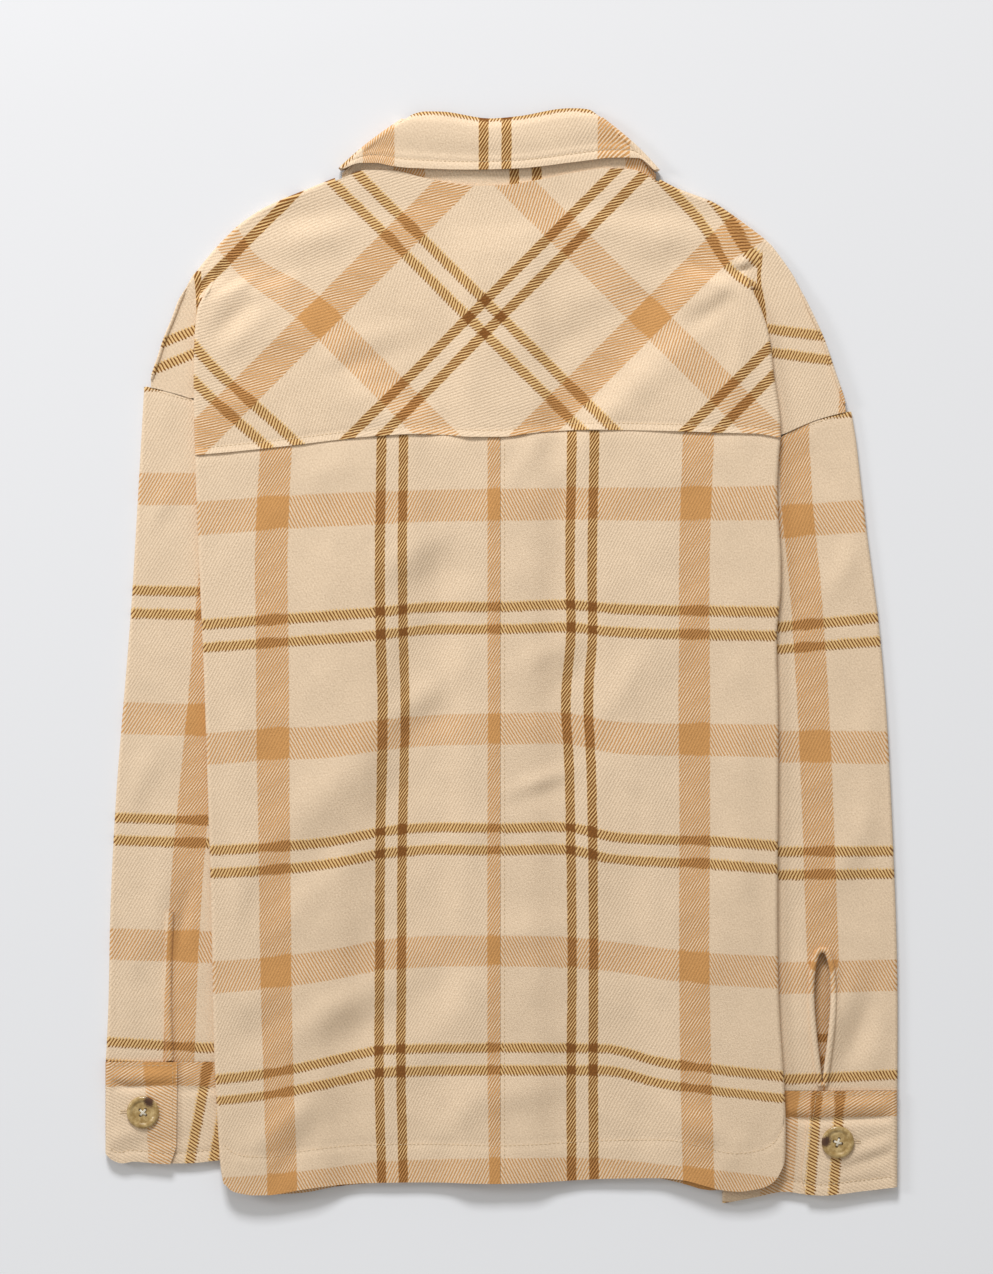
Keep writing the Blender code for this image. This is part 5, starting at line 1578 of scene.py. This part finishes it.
def button_mesh():
    bm = bmesh.new()
    rings = []
    for share, z in BUTTON_PROFILE:
        radius = share * BUTTON_RADIUS
        if share == 0:
            rings.append([bm.verts.new((0, 0, z * MM))])
            continue
        ring = []
        for i in range(BUTTON_SEGMENTS):
            angle = 2 * math.pi * i / BUTTON_SEGMENTS
            place_on_ring = (radius * math.cos(angle) * MM, radius * math.sin(angle) * MM, z * MM)
            ring.append(bm.verts.new(place_on_ring))
        rings.append(ring)
    for above, below in zip(rings, rings[1:]):
        for i in range(BUTTON_SEGMENTS):
            j = (i + 1) % BUTTON_SEGMENTS
            corners = [above[i % len(above)], below[i % len(below)],
                       below[j % len(below)], above[j % len(above)]]
            bm.faces.new(list(dict.fromkeys(corners)))
    bmesh.ops.recalc_face_normals(bm, faces=bm.faces)
    mesh = baked("button", bm)
    layer = mesh.uv_layers.new(name="check")
    for loop in mesh.loops:
        point = mesh.vertices[loop.vertex_index].co
        layer.data[loop.index].uv = (point.x / (BUTTON_RADIUS * MM), point.y / (BUTTON_RADIUS * MM))
    mesh.materials.append(HORN)
    return mesh


def holed_button_mesh():
    """The button's mesh with its four holes cut through."""
    mesh = button_mesh()
    piece = linked("button_blank", mesh)
    bm = bmesh.new()
    half = BUTTON_HOLE_PITCH / 2
    for dx in (-half, half):
        for dy in (-half, half):
            made = bmesh.ops.create_cone(bm, cap_ends=True, segments=HOLE_SEGMENTS,
                                         radius1=BUTTON_HOLE * MM, radius2=BUTTON_HOLE * MM,
                                         depth=DRILL_DEPTH * MM)
            bmesh.ops.translate(bm, verts=made["verts"], vec=(dx * MM, dy * MM, 0))
    drill = linked("drill", baked("drill", bm))
    boolean = piece.modifiers.new("Holes", "BOOLEAN")
    boolean.operation = "DIFFERENCE"
    boolean.object = drill
    applied(piece)
    made = piece.data
    made.shade_smooth()
    made.set_sharp_from_angle(angle=math.radians(40))
    bpy.data.objects.remove(piece, do_unlink=True)
    bpy.data.objects.remove(drill, do_unlink=True)
    return made


def buttons():
    mesh = holed_button_mesh()
    for side, (out, y) in CUFF_BUTTONS.items():
        node = f"button_cuff_{side}"
        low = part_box(node)[0].z
        piece = linked(f"{node}_horn", mesh)
        piece.location = (SIDES[side] * out * MM, y * MM, low)
        piece.rotation_euler = (0, 0, math.radians(BUTTON_TILT[side]))
        place(piece, node, "horn")
        tie_button(side, piece)
    for node in sorted(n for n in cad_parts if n.startswith("button_front")):
        low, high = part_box(node)
        piece = linked(f"{node}_horn", mesh)
        piece.location = ((low.x + high.x) / 2, (low.y + high.y) / 2, high.z)
        piece.rotation_euler = (math.pi, 0, 0)
        place(piece, node, "horn")


# Threads

THREAD_SIDES = 6
STITCH_LENGTH = 2.3
STITCH_PITCH = 3.1
STITCH_RADIUS = 0.24
THREAD_END = 0.55
BUTTON_THREAD_RADIUS = 0.36


def add_thread(bm, points, radius):
    """A short round thread along points in millimetres, thinner at both ends."""
    rings = []
    count = len(points) - 1
    for k, point in enumerate(points):
        ahead = Vector(points[min(k + 1, count)]) - Vector(points[max(k - 1, 0)])
        along = ahead.normalized()
        aside = along.cross(Vector((0, 0, 1))).normalized()
        over = aside.cross(along)
        thin = radius * (THREAD_END if k in (0, count) else 1.0)
        ring = []
        for i in range(THREAD_SIDES):
            angle = 2 * math.pi * i / THREAD_SIDES
            reach = (aside * math.cos(angle) + over * math.sin(angle)) * thin
            ring.append(bm.verts.new((Vector(point) + reach) * MM))
        rings.append(ring)
    for a, b in zip(rings, rings[1:]):
        for i in range(THREAD_SIDES):
            j = (i + 1) % THREAD_SIDES
            bm.faces.new((a[i], a[j], b[j], b[i]))
    bm.faces.new(rings[0][::-1])
    bm.faces.new(rings[-1])


def thread_piece(name, bm, finish, slot="flannel"):
    bmesh.ops.recalc_face_normals(bm, faces=bm.faces)
    mesh = baked(name, bm)
    mesh.materials.append(finish)
    mesh.shade_smooth()
    return place(linked(name, mesh), None, slot)


def surface(*pieces):
    """Height of the top of some pieces over a place, as a function of x and y in millimetres."""
    trees = []
    for piece in pieces:
        bm = bmesh.new()
        bm.from_mesh(piece.data)
        trees.append(BVHTree.FromBMesh(bm))
        bm.free()

    def height(x, y):
        best = None
        for tree in trees:
            spot, _, _, _ = tree.ray_cast(Vector((x * MM, y * MM, 0.05)), Vector((0, 0, -1)))
            if spot is not None:
                best = max(best or 0.0, spot.z / MM)
        return best

    return height


def walk(points, pitch):
    """Places along a line of (x, y) points at an even pitch, with the direction there."""
    points = np.array(points, float)
    lengths = np.concatenate([[0], np.cumsum(np.linalg.norm(np.diff(points, axis=0), axis=1))])
    spots = []
    for k in range(int(lengths[-1] / pitch)):
        at = (k + 0.5) * pitch
        x = np.interp(at, lengths, points[:, 0])
        y = np.interp(at, lengths, points[:, 1])
        dx = np.interp(at + 1, lengths, points[:, 0]) - np.interp(at - 1, lengths, points[:, 0])
        dy = np.interp(at + 1, lengths, points[:, 1]) - np.interp(at - 1, lengths, points[:, 1])
        length = math.hypot(dx, dy) or 1.0
        spots.append((x, y, dx / length, dy / length))
    return spots


# Course of a stitch: share of its length, depth in the cloth
STITCH_COURSE = ((-0.5, 0.22), (-0.2, 0.0), (0.2, 0.0), (0.5, 0.22))
STITCH_RISE = 0.06
# Course of the button's thread from hole to hole: share of the half distance, rise over the face
CROSS_COURSE = ((-1.0, -0.9), (-0.86, 0.1), (-0.4, 0.55), (0.4, 0.55), (0.86, 0.1), (1.0, -0.9))
CROSS_ASIDE = 0.35
CROSS_SLANT = 0.7
CROSS_OVER = 0.15
# Buttonhole from its start to past the button's rim, and the courses of its stitches: reach, rise
BUTTONHOLE_START = 4
BUTTONHOLE_PAST = 4.5
BUTTONHOLE_PITCH = 0.55
BUTTONHOLE_COURSE = ((0.25, -0.1), (0.8, 0.15), (1.35, -0.1))
BUTTONHOLE_THREAD = 0.26


def stitches(name, lines, height):
    """Rows of stitches sunk into the cloth along lines."""
    bm = bmesh.new()
    for line in lines:
        for x, y, dx, dy in walk(line, STITCH_PITCH):
            points = []
            for share, sink in STITCH_COURSE:
                px, py = x + dx * STITCH_LENGTH * share, y + dy * STITCH_LENGTH * share
                z = height(px, py)
                if z is None:
                    break
                points.append((px, py, z + STITCH_RISE - sink))
            if len(points) == len(STITCH_COURSE):
                add_thread(bm, points, STITCH_RADIUS)
    return thread_piece(name, bm, SEWING)


def tie_button(side, button):
    """Cream thread through the four holes, as a cross."""
    half = BUTTON_HOLE_PITCH / 2
    top = BUTTON_PROFILE[0][1]
    turn = math.radians(BUTTON_TILT[side])
    bm = bmesh.new()
    for sx, sy in ((1, 1), (1, -1)):
        for shift in (-CROSS_ASIDE, CROSS_ASIDE):
            points = []
            for share, rise in CROSS_COURSE:
                x = share * half * sx - shift * sy * CROSS_SLANT
                y = share * half * sy + shift * sx * CROSS_SLANT
                spot = (x * math.cos(turn) - y * math.sin(turn), x * math.sin(turn) + y * math.cos(turn))
                points.append((button.location.x / MM + spot[0], button.location.y / MM + spot[1],
                               button.location.z / MM + top + rise + CROSS_OVER * (sy > 0)))
            add_thread(bm, points, BUTTON_THREAD_RADIUS)
    thread_piece(f"button_thread_{side}", bm, BUTTON_THREAD, slot="horn")


def buttonhole(side, height):
    """Close whipped stitches round the buttonhole, which the button covers in part."""
    out, y = CUFF_BUTTONS[side]
    start, end = out + BUTTONHOLE_START, out + BUTTON_RADIUS + BUTTONHOLE_PAST
    bm = bmesh.new()
    count = int((end - start) / BUTTONHOLE_PITCH)
    for k in range(count + 1):
        spot = lerp(start, end, k / count)
        for sign in (-1, 1):
            points = []
            for reach, rise in BUTTONHOLE_COURSE:
                px, py = SIDES[side] * spot, y + sign * reach
                z = height(px, py)
                points.append((px, py, (z or 0) + rise))
            add_thread(bm, points, BUTTONHOLE_THREAD)
    thread_piece(f"buttonhole_{side}", bm, SEWING)


# Ends of the stitched lines that run across and down, and of the leaf's line in shares of its width
YOKE_STITCHED = (-HALF_BODY - 12, HALF_BODY - 6)
HEM_STITCHED = (-HALF_BODY + 3, HALF_BODY - 2)
CENTRE_STITCHED = (151, -368)
LEAF_STITCHED = (-0.97, 0.97)
LEAF_STITCH_SHARE = 0.85
CUFF_TOP_STITCH = 2.4
CUFF_STITCHED_FROM = 3
LINE_POINTS = 90


def sewing(pieces):
    """All stitched lines that show."""
    spread = np.linspace(0, 1, LINE_POINTS)
    yoke_top = surface(pieces["yoke"])
    xs = lerp(*YOKE_STITCHED, spread)
    stitches("stitches_yoke", [[(x, follow(YOKE_SEAM, x) + YOKE_STITCH) for x in xs]], yoke_top)
    backs = surface(pieces["back_left"], pieces["back_right"])
    xs = lerp(*HEM_STITCHED, spread)
    stitches("stitches_hem", [[(x, follow(HEM, x) + HEM_DEPTH) for x in xs]], backs)
    stitches("stitches_centre", [[(CENTRE_STITCH_X, y) for y in lerp(*CENTRE_STITCHED, spread)]], backs)
    for side, sign in SIDES.items():
        armhole = []
        for out in lerp(BODY_EDGE_AT_ARMHOLE[side] + 2, SHOULDER[side][-1][0] - 3, spread):
            armhole.append((sign * out, straight(ARMHOLE[side], out) - ARMHOLE_STITCH))
        stitches(f"stitches_armhole_{side}", [armhole], surface(pieces[f"sleeve_{side}"]))
        cuff_top = surface(pieces[f"cuff_{side}"])
        lap_top, lap_end = CUFF_LAP[side]
        bottom = [(sign * out, follow(CUFF_BOTTOM[side], out) + CUFF_STITCH)
                  for out in lerp(CUFF_OUTER[side] - CUFF_WIDTH + 4, CUFF_OUTER[side] - 3, spread)]
        edge = [(sign * (lerp(lap_top, lap_end, t) + CUFF_EDGE_STITCH), lerp(CUFF_SEAM_Y[side] - 3,
                 follow(CUFF_BOTTOM[side], lap_end) + CUFF_STITCH, t)) for t in spread]
        top = [(sign * out, CUFF_SEAM_Y[side] - CUFF_TOP_STITCH)
               for out in lerp(lap_top + CUFF_STITCHED_FROM, CUFF_OUTER[side] - CUFF_STITCHED_FROM, spread)]
        stitches(f"stitches_cuff_{side}", [bottom, edge, top], cuff_top)
        buttonhole(side, cuff_top)
    leaf_top = surface(pieces["collar_leaf"])
    line = []
    for n in lerp(*LEAF_STITCHED, spread):
        side = "left" if n < 0 else "right"
        line.append((n * leaf_half(side, LEAF_STITCH_SHARE), follow(LEAF_EDGE, n) + COLLAR_STITCH))
    stitches("stitches_collar", [line], leaf_top)


# Sheets: flat size of each piece's cut, how it lies, and what it lies on

def declare_sheets():
    for key, (flat, area, held, rests_on, with_pieces) in SHEETS.items():
        extra = {"area": area} if area else {}
        if with_pieces:
            extra["with_pieces"] = [bpy.data.objects[name] for name in with_pieces]


SHEETS = {
    "back_left": ((0.225, 0.535), 0.115, "laid", ["front_left_cloth"], ["stitches_centre"]),
    "back_right": ((0.205, 0.535), 0.108, "laid", ["front_right_cloth"], ["stitches_hem"]),
    "yoke": ((0.50, 0.225), 0.090, "folded", ["front_left_cloth"], ["stitches_yoke"]),
    "front_left": ((0.26, 0.72), 0.147, "laid", ["front_right_cloth"], None),
    "front_right": ((0.26, 0.71), 0.139, "laid", ["button_front_1_horn"], None),
    "collar_leaf": ((0.44, 0.07), 0.022, "folded", ["collar_stand_cloth"], ["stitches_collar"]),
    "collar_stand": ((0.42, 0.049), 0.020, "folded", ["front_left_cloth"], None),
    "sleeve_left": ((0.18, 0.48), 0.075, "laid", ["sleeve_left_under_cloth"], ["stitches_armhole_left"]),
    "sleeve_right": ((0.18, 0.48), 0.075, "laid", ["sleeve_right_under_cloth"], ["stitches_armhole_right"]),
    "sleeve_left_under": ((0.18, 0.48), 0.070, "laid", ["sleeve_left_upper_cloth"], None),
    "sleeve_right_under": ((0.18, 0.48), 0.070, "laid", ["sleeve_right_upper_cloth"], None),
    "cuff_left": ((0.28, 0.07), 0.019, "folded", ["sleeve_left_upper_cloth"], ["stitches_cuff_left"]),
    "cuff_right": ((0.28, 0.07), 0.019, "folded", ["sleeve_right_upper_cloth"], ["stitches_cuff_right"]),
}


# Floor, light and camera

# The paper is painted a little darker at the top and, by FLOOR_LEAN, towards the left, where the lamps
# stand: painted shade so that the light on it is more even than on the cloth
FLOOR_FADE = (-0.45, 0.45)
FLOOR_LEAN = -0.2
FLOOR_LOW = (0.80, 0.82, 0.865)
FLOOR_HIGH = (0.70, 0.71, 0.74)
FLOOR_HALF = 12.0


def floor():
    mesh = bpy.data.meshes.new("floor")
    mesh.from_pydata([(-FLOOR_HALF, -FLOOR_HALF, 0), (FLOOR_HALF, -FLOOR_HALF, 0),
                      (FLOOR_HALF, FLOOR_HALF, 0), (-FLOOR_HALF, FLOOR_HALF, 0)], [], [(0, 1, 2, 3)])
    tree = Tree("floor_paper")
    spot = tree.split(tree.node("ShaderNodeTexCoord").outputs["Object"])
    share = tree.node("ShaderNodeMapRange")
    leaning = tree.math("MULTIPLY_ADD", spot[0], FLOOR_LEAN, spot[1])
    for socket, value in zip(share.inputs, (leaning, *FLOOR_FADE, 0.0, 1.0)):
        tree.set(socket, value)
    tree.set(tree.shader.inputs["Base Color"], tree.mix(share.outputs[0], FLOOR_LOW, FLOOR_HIGH))
    tree.shader.inputs["Roughness"].default_value = 0.95
    tree.shader.inputs["Specular IOR Level"].default_value = 0.1
    mesh.materials.append(tree.material)
    made = linked("floor", mesh)


# Lights aimed at the origin: place and size in metres, power in watts
LIGHTS = {
    "key": ((-0.6, 2.9, 2.0), (1.2, 0.8), 114),
    "side": ((-3.2, 0.9, 1.8), (0.9, 0.9), 30),
}
WORLD_COLOR = (1.0, 0.965, 0.90, 1.0)
WORLD_STRENGTH = 0.45
AIM = (0, 0, 0)


def area_light(name, location, size, power):
    data = bpy.data.lights.new(name, "AREA")
    data.shape = "RECTANGLE"
    data.size, data.size_y = size
    data.energy = power
    lamp = linked(name, data)
    lamp.location = location
    lamp.rotation_euler = (Vector(AIM) - Vector(location)).to_track_quat("-Z", "Y").to_euler()


def light():
    world = bpy.data.worlds.new("studio")
    world.use_nodes = True
    world.node_tree.nodes["Background"].inputs["Color"].default_value = WORLD_COLOR
    world.node_tree.nodes["Background"].inputs["Strength"].default_value = WORLD_STRENGTH
    bpy.context.scene.world = world
    for name, (location, size, power) in LIGHTS.items():
        area_light(name, location, size, power)


def camera():
    data = bpy.data.cameras.new("camera")
    long_side = PHOTO_SIZE[1] * PIXEL * MM
    data.lens = data.sensor_width * CAMERA_DISTANCE / long_side
    made = linked("camera", data)
    x, y = photo_mm(PHOTO_SIZE[0] / 2, PHOTO_SIZE[1] / 2)
    made.location = (x * MM, y * MM, CAMERA_DISTANCE)
    bpy.context.scene.camera = made
    bpy.context.scene.view_settings.view_transform = "Standard"


PIECES = {"yoke": yoke()}
for side in SIDES:
    PIECES[f"back_{side}"] = back_panel(side)
    PIECES[f"front_{side}"] = front_panel(side)
    PIECES[f"sleeve_{side}"], PIECES[f"sleeve_{side}_under"] = sleeve(side)
    PIECES[f"binding_{side}"] = slit_binding(side)
    PIECES[f"cuff_{side}"] = cuff(side)
PIECES["collar_leaf"], PIECES["collar_stand"] = collar()
buttons()
sewing(PIECES)
declare_sheets()
floor()
light()
camera()
